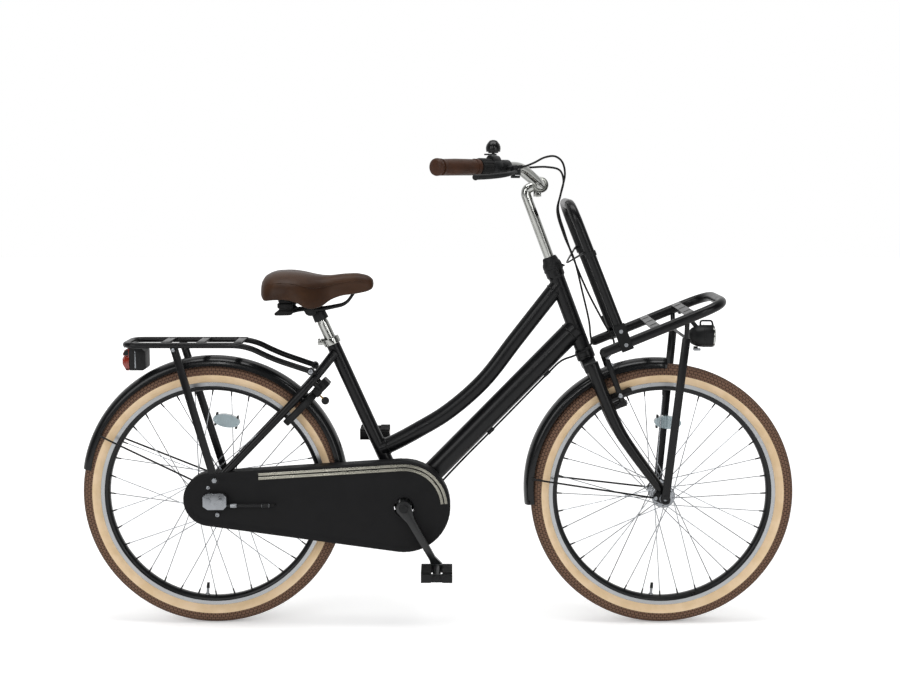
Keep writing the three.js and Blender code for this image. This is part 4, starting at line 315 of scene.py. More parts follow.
def across(x, z, y0, y1, radius, sides=32):
    return rod(vec(x, y0, z), vec(x, y1, z), radius, sides=sides)


def lathe(profile, origin, axis, sides=48):
    """A closed profile of (radius, height) turned about an axis; it may touch the axis."""
    axis = Vector(axis).normalized()
    n = axis.cross(vec(0, 0, 1)) if abs(axis.z) < 0.9 else axis.cross(vec(0, 1, 0))
    n.normalize()
    b = axis.cross(n)
    origin = Vector(origin)
    rings = []
    for k in range(sides):
        turn = 2 * math.pi * k / sides
        spoke = n * math.cos(turn) + b * math.sin(turn)
        rings.append([origin + axis * h + spoke * max(r, 1e-4) for r, h in profile])
    return skin(rings, closed=True)


def slab(outline, y0, y1):
    """A flat outline in X and Z between two values of Y."""
    front = [vec(x, y0, z) for x, z in outline]
    back = [vec(x, y1, z) for x, z in outline]
    return skin([front, back])


def block(centre, length, width, height, tilt=0.0):
    """A box, tipped up at its front by tilt."""
    turn = Matrix.Rotation(-tilt, 3, "Y")
    out = []
    for x in (-0.5, 0.5):
        ring = [Vector(centre) + turn @ vec(x * length, y * width, z * height)
                for y, z in ((-0.5, -0.5), (0.5, -0.5), (0.5, 0.5), (-0.5, 0.5))]
        out.append(ring)
    return skin(out)


def ball(centre, radius, sides=20):
    steps = sides // 2
    profile = [(radius * math.sin(math.pi * i / steps),
                -radius * math.cos(math.pi * i / steps)) for i in range(steps + 1)]
    return lathe(profile, centre, (0, 0, 1), sides)


def torus(centre, axis, ring, radius, sides=40, round_sides=12):
    profile = [(ring + radius * math.cos(2 * math.pi * k / round_sides),
                radius * math.sin(2 * math.pi * k / round_sides))
               for k in range(round_sides)]
    return lathe(profile, centre, axis, sides)


def bolt(centre, axis, radius=5.0, head=4.0):
    """A hexagon socket screw's head, standing out along its axis."""
    r = radius
    return lathe([(0, 0), (r, 0), (r, head * 0.8), (r * 0.85, head), (r * 0.5, head),
                  (r * 0.5, head * 0.45), (0, head * 0.45)],
                 centre, axis, 20)


def hexagon(centre, axis, radius, height):
    return lathe([(0, 0), (radius, 0), (radius, height * 0.85), (radius * 0.86, height), (0, height)],
                 centre, axis, 6)


def rounded(points, bend, steps=8):
    """A line through the points whose corners are bent round."""
    points = [Vector(p) for p in points]
    out = [points[0]]
    for i in range(1, len(points) - 1):
        back = points[i - 1] - points[i]
        on = points[i + 1] - points[i]
        reach = min(bend, back.length / 2, on.length / 2)
        a = points[i] + back.normalized() * reach
        b = points[i] + on.normalized() * reach
        for k in range(steps + 1):
            u = k / steps
            out.append(a * (1 - u) ** 2 + points[i] * 2 * u * (1 - u) + b * u * u)
    out.append(points[-1])
    return out


def smooth(points, per_span=6):
    """Centripetal spline through the points."""
    p = [Vector(q) for q in points]
    p = [p[0] * 2 - p[1]] + p + [p[-1] * 2 - p[-2]]
    out = []
    for i in range(1, len(p) - 2):
        p0, p1, p2, p3 = p[i - 1:i + 3]
        t0 = 0.0
        t1 = t0 + math.sqrt((p1 - p0).length)
        t2 = t1 + math.sqrt((p2 - p1).length)
        t3 = t2 + math.sqrt((p3 - p2).length)
        for k in range(per_span):
            t = t1 + (t2 - t1) * k / per_span
            a1 = p0 * ((t1 - t) / (t1 - t0)) + p1 * ((t - t0) / (t1 - t0))
            a2 = p1 * ((t2 - t) / (t2 - t1)) + p2 * ((t - t1) / (t2 - t1))
            a3 = p2 * ((t3 - t) / (t3 - t2)) + p3 * ((t - t2) / (t3 - t2))
            b1 = a1 * ((t2 - t) / (t2 - t0)) + a2 * ((t - t0) / (t2 - t0))
            b2 = a2 * ((t3 - t) / (t3 - t1)) + a3 * ((t - t1) / (t3 - t1))
            out.append(b1 * ((t2 - t) / (t2 - t1)) + b2 * ((t - t1) / (t2 - t1)))
    out.append(p[-2])
    return out


def both(points):
    """The same points on the rider's right and left."""
    return [[vec(p[0], side * p[1], p[2]) for p in points] for side in (-1, 1)]


def moved(shape, matrix):
    points, faces = shape
    return [matrix @ p for p in points], faces


def piece(name, body, material, shapes, replaces=(), bevel=0.0, angle=38, levels=0):
    """Joins shapes into one mesh that rides on a body. material may be a list, one per shape."""
    name = name.replace(" ", "_")
    mesh = bpy.data.meshes.new(name)
    points, faces, which = [], [], []
    mats = material if isinstance(material, list) else [material] * len(shapes)
    unique = []
    for (more, polygons), mat in zip(shapes, mats):
        if mat not in unique:
            unique.append(mat)
        base = len(points)
        points += [metres(p) for p in more]
        faces += [tuple(base + k for k in polygon) for polygon in polygons]
        which += [unique.index(mat)] * len(polygons)
    mesh.from_pydata(points, [], faces)
    for mat in unique:
        mesh.materials.append(mat)
    mesh.polygons.foreach_set("material_index", which)
    bm = bmesh.new()
    bm.from_mesh(mesh)
    bmesh.ops.remove_doubles(bm, verts=bm.verts, dist=2e-7)
    bmesh.ops.recalc_face_normals(bm, faces=bm.faces)
    if bevel:
        sharp = [e for e in bm.edges if len(e.link_faces) == 2 and e.calc_face_angle(0) > math.radians(40)]
        bmesh.ops.bevel(bm, geom=sharp, offset=bevel * MM, segments=2, profile=0.6, affect="EDGES",
                        clamp_overlap=True)
    bm.to_mesh(mesh)
    bm.free()
    mesh.polygons.foreach_set("use_smooth", [True] * len(mesh.polygons))
    mesh.set_sharp_from_angle(angle=math.radians(angle))
    obj = bpy.data.objects.new(name, mesh)
    bpy.context.scene.collection.objects.link(obj)
    if levels:
        more = obj.modifiers.new("soft skin", "SUBSURF")
        more.levels = more.render_levels = levels
    if body:
        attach(obj, body)
    if replaces:
        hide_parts(*replaces)
    return obj


# Skeleton

TYRE_RADIUS = 301
REAR = vec(0, 0, TYRE_RADIUS)
FRONT = vec(WHEELBASE, 0, TYRE_RADIUS)
BRACKET = vec(437, 0, 285)
SEAT_TUBE, HEAD_TUBE = 412, 205
SEAT_TUBE_RADIUS, DOWN_TUBE_RADIUS, TOP_TUBE_RADIUS, HEAD_TUBE_RADIUS = 15.5, 25, 18.5, 18
COLLAR_RADIUS, COLLAR_HEIGHT, COLLAR_TAPER = 21, 12, 5
FORK_DROP, FORK_RAKE = 363.2, 53
POST_RADIUS = 12.7
BAR_RADIUS = 11.1
SEAT_ANGLE = math.radians(65.8)
HEAD_ANGLE = math.radians(69.3)
SEAT_UP = vec(-math.cos(SEAT_ANGLE), 0, math.sin(SEAT_ANGLE))
HEAD_UP = vec(-math.cos(HEAD_ANGLE), 0, math.sin(HEAD_ANGLE))
AHEAD = vec(math.sin(HEAD_ANGLE), 0, math.cos(HEAD_ANGLE))
HEAD_FOOT = FRONT + HEAD_UP * FORK_DROP - AHEAD * FORK_RAKE
SIDE = vec(0, 1, 0)


def seat_point(along):
    return BRACKET + SEAT_UP * along


def head_point(along, ahead=0.0, y=0.0):
    return HEAD_FOOT + HEAD_UP * along + AHEAD * ahead + SIDE * y


# Frame

def top_tube_line():
    start, end = seat_point(SEAT_TUBE * 0.32), head_point(HEAD_TUBE * 0.84)
    span = end - start
    below = vec(span.z, 0, -span.x)
    shares = [(0, 0), (0.07, 0.023), (0.164, 0.047), (0.305, 0.0757), (0.5, 0.0815), (0.72, 0.0457), (1, 0)]
    return smooth([start + span * a + below * s for a, s in shares], 7)


def seat_stay(side):
    top = seat_point(SEAT_TUBE - 36)
    return smooth([
        top + vec(-3.1, side * 14, 0),
        top.lerp(REAR, 0.19) + vec(0, side * 41, 0),
        REAR + vec(12, side * 65, 36),
    ], 8)


def chain_stay(side):
    return smooth([
        BRACKET + vec(-13, side * 27, 0), BRACKET + vec(-79, side * 31, 0), BRACKET + vec(-114, side * 40, 0),
        REAR.lerp(BRACKET, 0.25) + vec(0, side * 52, 0), REAR + vec(40, side * 59, 0),
    ], 7)


def weld(at, axis, radius, bead=1.6):
    return torus(at, axis, radius, bead, 36, 8)


def make_frame():
    down_end = head_point(HEAD_TUBE * 0.32)
    down_way = (down_end - BRACKET).normalized()
    top = top_tube_line()
    front_way, rear_way = (top[-1] - top[-3]).normalized(), (top[2] - top[0]).normalized()
    shapes = [
        rod(BRACKET, seat_point(SEAT_TUBE), SEAT_TUBE_RADIUS, sides=40),
        rod(BRACKET, down_end, DOWN_TUBE_RADIUS, sides=44), tube(top, TOP_TUBE_RADIUS, 36),
        rod(head_point(0), head_point(HEAD_TUBE), HEAD_TUBE_RADIUS, sides=40),
        across(BRACKET.x, BRACKET.z, -34, 34, COLLAR_RADIUS, 44),
        across(BRACKET.x - 97, BRACKET.z, -35, 35, 6, 20),
    ]
    for end, inwards in ((0, 1), (HEAD_TUBE, -1)):
        low = end + inwards * COLLAR_HEIGHT
        shapes.append(rod(head_point(end), head_point(low), COLLAR_RADIUS, sides=40))
        shapes.append(rod(head_point(low), head_point(low + inwards * COLLAR_TAPER), COLLAR_RADIUS,
                          HEAD_TUBE_RADIUS, 40))
    shapes += [tube(seat_stay(s), [10.5, 8], 22) for s in (-1, 1)]
    shapes += [tube(chain_stay(s), [9, 7], 22) for s in (-1, 1)]
    upper = seat_stay(1)[2]
    shapes.append(across(upper.x, upper.z, -upper.y, upper.y, 6, 20))
    shapes += [
        weld(down_end - down_way * 16, down_way, DOWN_TUBE_RADIUS),
        weld(BRACKET + down_way * 22, down_way, DOWN_TUBE_RADIUS),
        weld(seat_point(22), SEAT_UP, SEAT_TUBE_RADIUS, 1.4),
        weld(top[-1] - front_way * 19, front_way, TOP_TUBE_RADIUS),
        weld(top[0] + rear_way * 17, rear_way, TOP_TUBE_RADIUS),
    ]
    shares = [(-0.3, -0.22), (-0.36, 0.1), (-0.2, 0.62), (-0.06, 1), (0.3, 1.04), (0.44, 0.8), (0.5, 0.3),
              (0.95, 0.2), (0.95, -0.16), (0.2, -0.36)]
    dropout = 50
    plate = [(x * dropout, REAR.z + z * dropout) for x, z in shares]
    shapes += [slab(plate, s * 62, s * 68) for s in (-1, 1)]
    return piece("frame tubes", "frame", ENAMEL, shapes, ["frame"])


make_frame()

GUIDES = [(762, 578.5), (634.5, 446)]
piece("cable guides", "frame", PLASTIC, [
    tube([vec(x - 6, 0, z - 6), vec(x + 6, 0, z + 6)], 4.2, 16) for x, z in GUIDES
] + [block(vec(x - 2, 0, z + 3), 10, 7, 5, math.radians(45)) for x, z in GUIDES])


def ring_band(low, high, inner, outer, sides=40):
    axis = high - low
    length = axis.length
    return lathe([(inner, 0), (outer - 0.8, 0), (outer, 0.8), (outer, length - 0.8), (outer - 0.8, length),
                  (inner, length)],
                 low, axis, sides)


lug = seat_point(SEAT_TUBE - 8) + vec(-19, 0, -2)
piece("seat clamp", "frame", CHROME, [
    ring_band(seat_point(SEAT_TUBE - 16), seat_point(SEAT_TUBE), 15.8, 19.7),
    block(lug + vec(-3, 5, 0), 17, 6, 14), block(lug + vec(-3, -5, 0), 17, 6, 14),
    across(lug.x - 6, lug.z, -13, 13, 3.4, 16), hexagon(vec(lug.x - 6, -13, lug.z), (0, -1, 0), 6, 5),
    hexagon(vec(lug.x - 6, 13, lug.z), (0, 1, 0), 6, 5),
], ["seat_clamp"], bevel=0.6)

# Seat

piece("seat post", "seat", CHROME, [
    rod(seat_point(262), seat_point(450), POST_RADIUS, sides=40),
    rod(seat_point(450), seat_point(458), POST_RADIUS, POST_RADIUS - 1.5, 40),
    rod(seat_point(458), seat_point(474), POST_RADIUS - 1.5, sides=40),
], ["seatpost"])

SADDLE_REAR, SADDLE_LENGTH, SADDLE_HALF = 118, 250, 104
SADDLE_BASE, SADDLE_HEIGHT, PAD_THICKNESS = 729, 87, 7.0
# Each row: its share of the saddle's length, then half width, top and skirt as shares.
SADDLE_SHARES = [
    (0.0, 0.62, 0.72, 0.42), (0.04, 0.86, 0.9, 0.24), (0.12, 0.98, 0.985, 0.28), (0.25, 1.0, 1.0, 0.29),
    (0.34, 0.92, 0.975, 0.2), (0.4, 0.83, 0.945, 0.07), (0.46, 0.7, 0.91, 0.02), (0.54, 0.52, 0.875, 0.06),
    (0.62, 0.37, 0.87, 0.24), (0.72, 0.3, 0.9, 0.34), (0.85, 0.27, 0.92, 0.38), (0.95, 0.23, 0.86, 0.44),
    (1.0, 0.15, 0.74, 0.52),
]


def saddle_ring(row, inset=0.0, count=25):
    along, wide, high, low = row
    x, half = SADDLE_REAR + along * SADDLE_LENGTH, wide * SADDLE_HALF - inset
    top, skirt = SADDLE_BASE + high * SADDLE_HEIGHT - inset, SADDLE_BASE + low * SADDLE_HEIGHT
    ring = []
    for i in range(count):
        turn = math.pi * i / (count - 1)
        side = math.copysign(abs(math.cos(turn)) ** 0.75, math.cos(turn))
        y = half * side
        z = skirt + (top - skirt) * math.sin(turn) ** 0.7
        # A shallow channel runs along the middle of the rear.
        dip = 4.0 * math.exp(-(y / 16) ** 2) * max(0.0, 1 - abs(along - 0.3) / 0.42)
        ring.append(vec(x, y, z - dip * (1 if not inset else 0.3)))
    return ring


def make_saddle():
    rows = []
    for a, b in zip(SADDLE_SHARES, SADDLE_SHARES[1:]):
        for k in range(2):
            rows.append(tuple(p + (q - p) * k / 2 for p, q in zip(a, b)))
    rows.append(SADDLE_SHARES[-1])
    rings = []
    for row in rows:
        outer = saddle_ring(row)
        inner = saddle_ring(row, PAD_THICKNESS)[::-1]
        for p in inner:
            p.z += 1.5
        rings.append(outer + inner)
    obj = piece("saddle cushion", "seat", SADDLE, [skin(rings)], ["saddle_cover"], angle=60, levels=1)
    seam = []
    for side in (-1, 1):
        line = []
        for row in rows[1:-1]:
            ring = saddle_ring(row)
            p = ring[4] if side > 0 else ring[-5]
            line.append(p + vec(0, side * 0.2, 0.2))
        seam.append(tube(smooth(line[::2], 3), 0.8, 6))
    piece("saddle seam", "seat", SADDLE, seam)


make_saddle()


def make_saddle_rails():
    """Two wire rails from the nose to the spring buffers under the rear."""
    wire, low, rear, spread, nose = 3.6, 720, 172, 54, 330.5
    nose_z = SADDLE_BASE + 0.38 * SADDLE_HEIGHT + 13
    rails = both([
        (nose, 6.6, nose_z), (nose - 25, 11, 738), (251, 22, 727), (201, 22, 727), (rear, spread, low),
        (rear - 19, spread, low),
    ])
    shapes = [tube(rounded(line, 16, 6), wire, 14) for line in rails]
    shapes += [across(nose, nose_z, -6.6, 6.6, wire, 14), across(rear - 20.4, low, -spread, spread, wire, 14)]
    mats = [PLASTIC] * len(shapes)
    buffer = [(0, 0), (14, 0), (17, 3), (17, 9), (13.5, 12), (13.5, 14), (17, 17), (17, 25), (13.5, 28),
              (15, 31), (15, 34), (0, 34)]
    for side in (-1, 1):
        foot = vec(rear, side * spread, low - 2)
        shapes += [lathe(buffer, foot, (0, 0, 1), 36),
                   rod(foot + vec(0, 0, 32), foot + vec(0, 0, 58), 8.4, sides=24)]
        mats += [RUBBER, PLASTIC]
    piece("saddle rails and buffers", "seat", mats, shapes, ["saddle_rails"])


make_saddle_rails()

YOKE = vec(226, 0, 727)
piece("saddle clamp", "seat", PLASTIC, [
    across(YOKE.x, YOKE.z, -25, 25, 14.4, 36), rod(seat_point(457), seat_point(478), 17, 16, 36),
    across(YOKE.x, YOKE.z, -29, 29, 8, 24), across(YOKE.x, YOKE.z, -32.4, 32.4, 5, 16),
    hexagon(YOKE - SIDE * 27, -SIDE, 8, 5), hexagon(YOKE + SIDE * 27, SIDE, 8, 5),
], ["saddle_clamp"], bevel=0.7)

# Wheels

SPOKES = 36
VALVE_ANGLE = 265.0
RIM_BED = 239.5
REAR_HUB = dict(half=36, flange=49, at=29, shell=38, holes=44)
FRONT_HUB = dict(half=46, flange=27, at=32, shell=15, holes=22)


def arc_profile(points, steps=6):
    """A smooth profile through (radius, y) points."""
    line = smooth([vec(r, y, 0) for r, y in points], steps)
    return [(p.x, p.y) for p in line]


def make_tyre(name, body, axle, node_name):
    """A cream casing with a brown tread, and two fine moulded ribs on each wall."""
    wall = arc_profile([(254.6, 9), (258, 11.6), (266, 18.8), (272.5, 22.2), (277, 23.2)], 5)
    crown = arc_profile([(277, 23.2), (281.5, 23.4), (288, 22.4), (294.5, 18.2), (298.8, 11.5),
                         (300.6, 5.2), (TYRE_RADIUS, 0)], 5)
    crown += [(r, -y) for r, y in crown[::-1]][1:]
    other = [(r, -y) for r, y in wall[::-1]]
    sides = 160
    name = name.replace(" ", "_")
    mesh = bpy.data.meshes.new(name)
    profile = wall[:-1] + crown + other[1:] + [(254.3, -4), (254.3, 4)]
    tread_from, tread_to = len(wall) - 1, len(wall) - 1 + len(crown) - 1
    points, faces, which, uvs = [], [], [], []
    count = len(profile)
    for k in range(sides):
        turn = 2 * math.pi * k / sides
        for r, y in profile:
            points.append(metres((axle.x + r * math.cos(turn), y, axle.z + r * math.sin(turn))))
    blocks_round, blocks_over = 190, 13
    for k in range(sides):
        m = (k + 1) % sides
        for i in range(count):
            j = (i + 1) % count
            faces.append((k * count + i, k * count + j, m * count + j, m * count + i))
            tread = tread_from <= i < tread_to
            which.append(0 if tread else 1)
            v0 = (i - tread_from) / (tread_to - tread_from) * blocks_over if tread else 0
            v1 = (i + 1 - tread_from) / (tread_to - tread_from) * blocks_over if tread else 0
            u0, u1 = k / sides * blocks_round, (k + 1) / sides * blocks_round
            uvs += [(u0, v0), (u0, v1), (u1, v1), (u1, v0)]
    mesh.from_pydata(points, [], faces)
    layer = mesh.uv_layers.new(name="UVMap")
    for i, uv in enumerate(uvs):
        layer.data[i].uv = uv
    mesh.materials.append(TREAD)
    mesh.materials.append(SKIN)
    mesh.polygons.foreach_set("material_index", which)
    mesh.polygons.foreach_set("use_smooth", [True] * len(faces))
    obj = bpy.data.objects.new(name, mesh)
    bpy.context.scene.collection.objects.link(obj)
    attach(obj, body)
    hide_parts(node_name)
    for ring, (radius, half) in enumerate(((264.0, 16.9), (268.5, 20.1))):
        for side in (1, -1):
            rib = torus(axle + SIDE * side * half, SIDE, radius, 0.55, 160, 6)
            piece(f"{name} rib {side} {ring}", body, SKIN, [rib])


def make_rim(name, body, axle, node_name):
    """The black rim, its two pale brake tracks and the valve."""
    track = [(250.8, 13.5), (259.2, 13.5), (259.4, 13.2), (250.8, 13.2)]
    section = [(241, 7), (244, 11.2), (248.5, 13.1), (250.6, 13.4), (250.8, 13.15), (259.2, 13.15),
               (260, 12.8), (259.6, 11.6), (251, 11.2), (250.5, 7)]
    section += [(r, -y) for r, y in section[::-1]] + [(240, -5), (240, 5)]
    shapes = [lathe(section, axle, SIDE, 160)]
    shapes += [lathe([(r, side * y) for r, y in track], axle, SIDE, 160) for side in (1, -1)]
    turn = math.radians(VALVE_ANGLE)
    way = vec(math.cos(turn), 0, math.sin(turn))
    shapes += [
        rod(axle + way * 243, axle + way * 212, 3, sides=16),
        rod(axle + way * 224, axle + way * 211.5, 3.8, 3.2, 16),
        lathe([(3, 0), (5, 0), (5, 2.5), (3, 3)], axle + way * RIM_BED, -way, 20),
    ]
    piece(name, body, [RIM, TRACK, TRACK, ALLOY, PLASTIC, ALLOY], shapes, [node_name])


def spoke_ends(hub, i):
    """Where spoke i hooks into its flange and where it meets the rim, three crossings away."""
    side = 1 if i % 2 else -1
    forwards = 1 if (i // 2) % 2 else -1
    outer = VALVE_ANGLE + (i + 0.5) * 360 / SPOKES
    inner = outer + 3 * 360 / (SPOKES / 2) * forwards
    a, b = math.radians(inner), math.radians(outer)
    face = hub["at"] + forwards * 2.4
    foot = vec(hub["holes"] * math.cos(a), side * face, hub["holes"] * math.sin(a))
    tip = vec(RIM_BED * math.cos(b), side * 2.1, RIM_BED * math.sin(b))
    return foot, tip


def make_hub(name, body, axle, hub, node_name):
    shapes, mats = [], []
    shell, at, flange, half = hub["shell"], hub["at"], hub["flange"], hub["half"]
    side = [(5.4, half), (shell * 0.6, half), (shell * 0.66, half - 1), (shell * 0.7, at + 4),
            (flange - 6, at + 3), (flange - 1, at + 2), (flange, at + 1), (flange, at - 1),
            (flange - 1, at - 2), (flange - 6, at - 3), (shell + 2, at - 5), (shell, at - 8)]
    profile = side + [(r, -y) for r, y in side[::-1]]
    shapes.append(lathe(profile, axle, (0, 1, 0), 64))
    mats.append(ALLOY)
    for i in range(SPOKES):
        foot, tip = spoke_ends(hub, i)
        foot, tip = foot + axle, tip + axle
        way = (foot - tip).normalized()
        shapes.append(rod(foot, tip, 1.05, sides=8))
        mats.append(SPOKE)
        shapes.append(rod(tip - way * 0.2, tip + way * 11, 1.9, 1.5, 10))
        mats.append(NIPPLE)
        out = 1 if foot.y > 0 else -1
        shapes.append(ball(foot + vec(0, out * 0.6, 0), 2.0, 10))
        mats.append(SPOKE)
    piece(name, body, mats, shapes, [node_name])


def make_reflector(name, body, axle, at, angle, node_name):
    """Oval prism reflector clipped between the spokes, with its two clips."""
    turn = math.radians(angle)
    middle = Matrix.Translation(axle + vec(at * math.cos(turn), 0, at * math.sin(turn)))
    tilt = Matrix.Rotation(math.pi / 2 - turn, 4, "Y")
    half_long, half_high, steps = 31, 15, 40
    turns = [2 * math.pi * k / steps for k in range(steps)]
    outline = [(half_long * math.cos(t), half_high * math.sin(t)) for t in turns]
    shapes = [slab(outline, -7.3, 7.3)]
    mats = [REFLECT]
    for y in (-7.5, 7.5):
        for row in range(-2, 3):
            for col in range(-4, 5):
                x, z = col * 6.0, row * 5.4
                if (x / (half_long - 2)) ** 2 + (z / (half_high - 2)) ** 2 < 1:
                    shapes.append(lathe([(0, -0.4), (2.9, -0.4), (0, 0.5)], vec(x, y, z),
                                        (0, math.copysign(1, y), 0), 6))
                    mats.append(REFLECT)
    for x in (-24, 24):
        shapes.append(block(vec(x, 0, 0), 4, 14, 30))
        mats.append(PLASTIC)
    piece(name, body, mats, [moved(s, middle @ tilt) for s in shapes], [node_name])


for prefix, body, axle, hub, at, angle in (
    ("rear", "rear_wheel", REAR, REAR_HUB, 172, 80), ("front", "front_wheel", FRONT, FRONT_HUB, 166, 86),
):
    make_tyre(f"{prefix} tyre", body, axle, f"{prefix}_tyre")
    make_rim(f"{prefix} rim", body, axle, f"{prefix}_rim")
    make_hub(f"{prefix} hub and laced spokes", body, axle, hub, f"{prefix}_hub_and_spokes")
    make_reflector(f"{prefix} spoke reflector", body, axle, at, angle, f"{prefix}_reflector")


def axle_shapes(axle, face):
    shapes = [across(axle.x, axle.z, -face - 14, face + 14, 5, 20)]
    for s in (-1, 1):
        shapes.append(lathe([(5, 0), (11.6, 0), (12, 0.6), (12, 2), (5, 2)], axle + SIDE * s * (face + 0.3),
                            SIDE * s, 40))
        shapes.append(lathe([(5, 0), (9.5, 0), (9.5, 6.6), (8.2, 8), (5, 8)],
                            axle + SIDE * s * (face + 2.3), SIDE * s, 6))
        shapes.append(lathe([(0, 0), (8.3, 0), (7.4, 4.5), (4, 6.5), (0, 7)], axle + SIDE * s * (face + 8),
                            SIDE * s, 32))
    return shapes


ARM = [(-17, 286), (-9, 318), (6, 318), (17, 301), (149, 283), (149, 266), (75, 263)]
piece("rear axle and brake arm", "frame", ZINC, axle_shapes(REAR, 68) + [slab(ARM, 37.4, 40.2)],
      ["rear_axle"], bevel=0.4)
piece("front axle", "steering", ZINC, axle_shapes(FRONT, 57), ["front_axle"], bevel=0.4)

# Fork, stem and bar


def blade(side):
    """A fork blade's centre line, curving forwards to its tip."""
    shares = [(0.045, 0.08), (0.26, 0.09), (0.5, 0.19), (0.63, 0.38), (0.79, 0.68), (0.94, 0.98)]
    return smooth([head_point(-down * FORK_DROP, ahead * FORK_RAKE, side * (46 + 8 * down))
                   for down, ahead in shares], 7)


def in_steering(outline, y0, y1):
    """A slab whose outline is given as (ahead, along the steerer)."""
    front = [head_point(z, x, y0) for x, z in outline]
    back = [head_point(z, x, y1) for x, z in outline]
    return skin([front, back])


def make_fork():
    shapes = [tube(blade(s), [15.5, 10.5], 30) for s in (-1, 1)]
    crown = []
    for x in (-15.5, 15.5):
        crown.append([head_point(z, x, y) for y, z in (
            (-56.8, -34), (-56.8, -16), (-48, -9), (-38, -8), (38, -8), (48, -9), (56.8, -16), (56.8, -34),
            (40, -34), (30, -30), (-30, -30), (-40, -34))])
    shapes.append(skin(crown))
    shapes += [rod(head_point(-9), head_point(-0.3), 21, sides=40),
               rod(head_point(-20), head_point(-8), 16, sides=32)]
    ends = [(-0.9, 1.9), (-1.9, 1.2), (-2, 0.3), (-1, -0.7), (0, -1.2), (0.9, -0.8), (1.15, 0.2), (0.7, 1.9)]
    outline = [(FORK_RAKE + x * 12, -FORK_DROP + z * 12) for x, z in ends]
    shapes += [in_steering(outline, s * 51, s * 57) for s in (-1, 1)]
    for s in (-1, 1):
        shapes.append(rod(head_point(-128, 8, s * 41), head_point(-128, 32.2, s * 41), 8.5, sides=24))
    piece("fork", "steering", ENAMEL, shapes, ["fork"], bevel=1.6)


make_fork()
CAP = lathe([
    (13.3, 0), (22.5, 0), (22.5, 5), (21.4, 6), (22.2, 8), (22.3, 14), (20.4, 19.5), (18.4, 22), (17.2, 28),
    (15.4, 32.5), (12.6, 33),
], head_point(HEAD_TUBE + 0.3), HEAD_UP, 56)
piece("headset cap", "steering", PLASTIC, [CAP, block(head_point(212, 21), 14, 10, 4, -math.radians(20.7))],
      ["headset_cap"])

CLAMP = head_point(401) + vec(36, 0, 10)


def bar_line(side):
    """The bar's corners from the stem's clamp to its tip, swept back."""
    c = CLAMP
    return [vec(c.x, side * 50, c.z), vec(c.x - 48, side * 112, c.z + 40),
            vec(c.x - 82, side * 146, c.z + 40), vec(c.x - 230, side * 296, c.z + 40)]


def bar_end(side, from_tip):
    """A point on the bar's straight end, so far from its tip."""
    tip, inner = bar_line(side)[3], bar_line(side)[2]
    return tip + (inner - tip).normalized() * from_tip


def bar_way(side):
    return (bar_end(side, 0) - bar_end(side, 1)).normalized()


piece("stem", "steering", CHROME, [
    tube(rounded([head_point(145), head_point(401), CLAMP], 26, 12), BAR_RADIUS, 36),
    lathe([(11.5, -20), (17, -21), (18, -19.5), (18, 19.5), (17, 21), (11.5, 20)], CLAMP, SIDE, 48),
    block(CLAMP + vec(-6, 0, -18), 17, 20, 17), across(CLAMP.x - 6, CLAMP.z - 21.5, -13, 13, 4.4, 20),
    hexagon(vec(CLAMP.x - 6, -13, CLAMP.z - 21.5), (0, -1, 0), 6.5, 5),
], ["stem"], bevel=1.2)
piece("handlebar", "steering", CHROME, [
    tube(rounded(bar_line(-1)[::-1] + bar_line(1), 34, 10), BAR_RADIUS, 32),
], ["handlebar"])


def make_grip(side, node_name):
    start, way = bar_end(side, 124), bar_way(side)
    profile = [(11.4, 0), (15.6, 0), (17.3, 2), (17.4, 6), (16.2, 9), (16.8, 30), (17.4, 70), (16.8, 100),
               (16.2, 116), (18.2, 119), (18.4, 124), (17, 128), (13, 130), (0, 130)]
    shapes = [lathe(profile, start, way, 56)]
    n = way.cross(vec(0, 0, 1)).normalized()
    stitch = []
    for k in range(30):
        at = 10 + k * 3.6
        middle = start + way * at + vec(0, 0, -1) * 17.1
        stitch.append(rod(middle + n * 2.6 - way * 1.2, middle - n * 2.6 + way * 1.2, 0.55, sides=6))
    bands = [torus(start + way * at, way, 17.0, 0.7, 48, 8) for at in (12, 112)]
    piece(f"grip {'right' if side < 0 else 'left'}", "steering", GRIP, shapes + bands + stitch, [node_name],
          angle=50)


make_grip(-1, "grip_right")
make_grip(1, "grip_left")


def make_shifter():
    start, way = bar_end(-1, 124.9), -bar_way(-1)
    n = way.cross(vec(0, 0, 1)).normalized()
    b = way.cross(n)
    rings = []
    count = 96
    for h, size in ((0, 17.2), (1.2, 18.6), (3, 19), (30, 18.6), (32.8, 18), (34, 17)):
        ring = []
        for k in range(count):
            turn = 2 * math.pi * k / count
            r = size - (0.9 if (k % 6) in (0, 1) and 2 < h < 33 else 0)
            ring.append(start + way * h + n * r * math.cos(turn) + b * r * math.sin(turn))
        rings.append(ring)
    piece("twist shifter", "twist_shifter", RUBBER, [skin(rings)], ["twist_shifter"], angle=30)


make_shifter()

LEVER_PIVOT = bar_end(-1, 205.8) + vec(24, -24, -11)


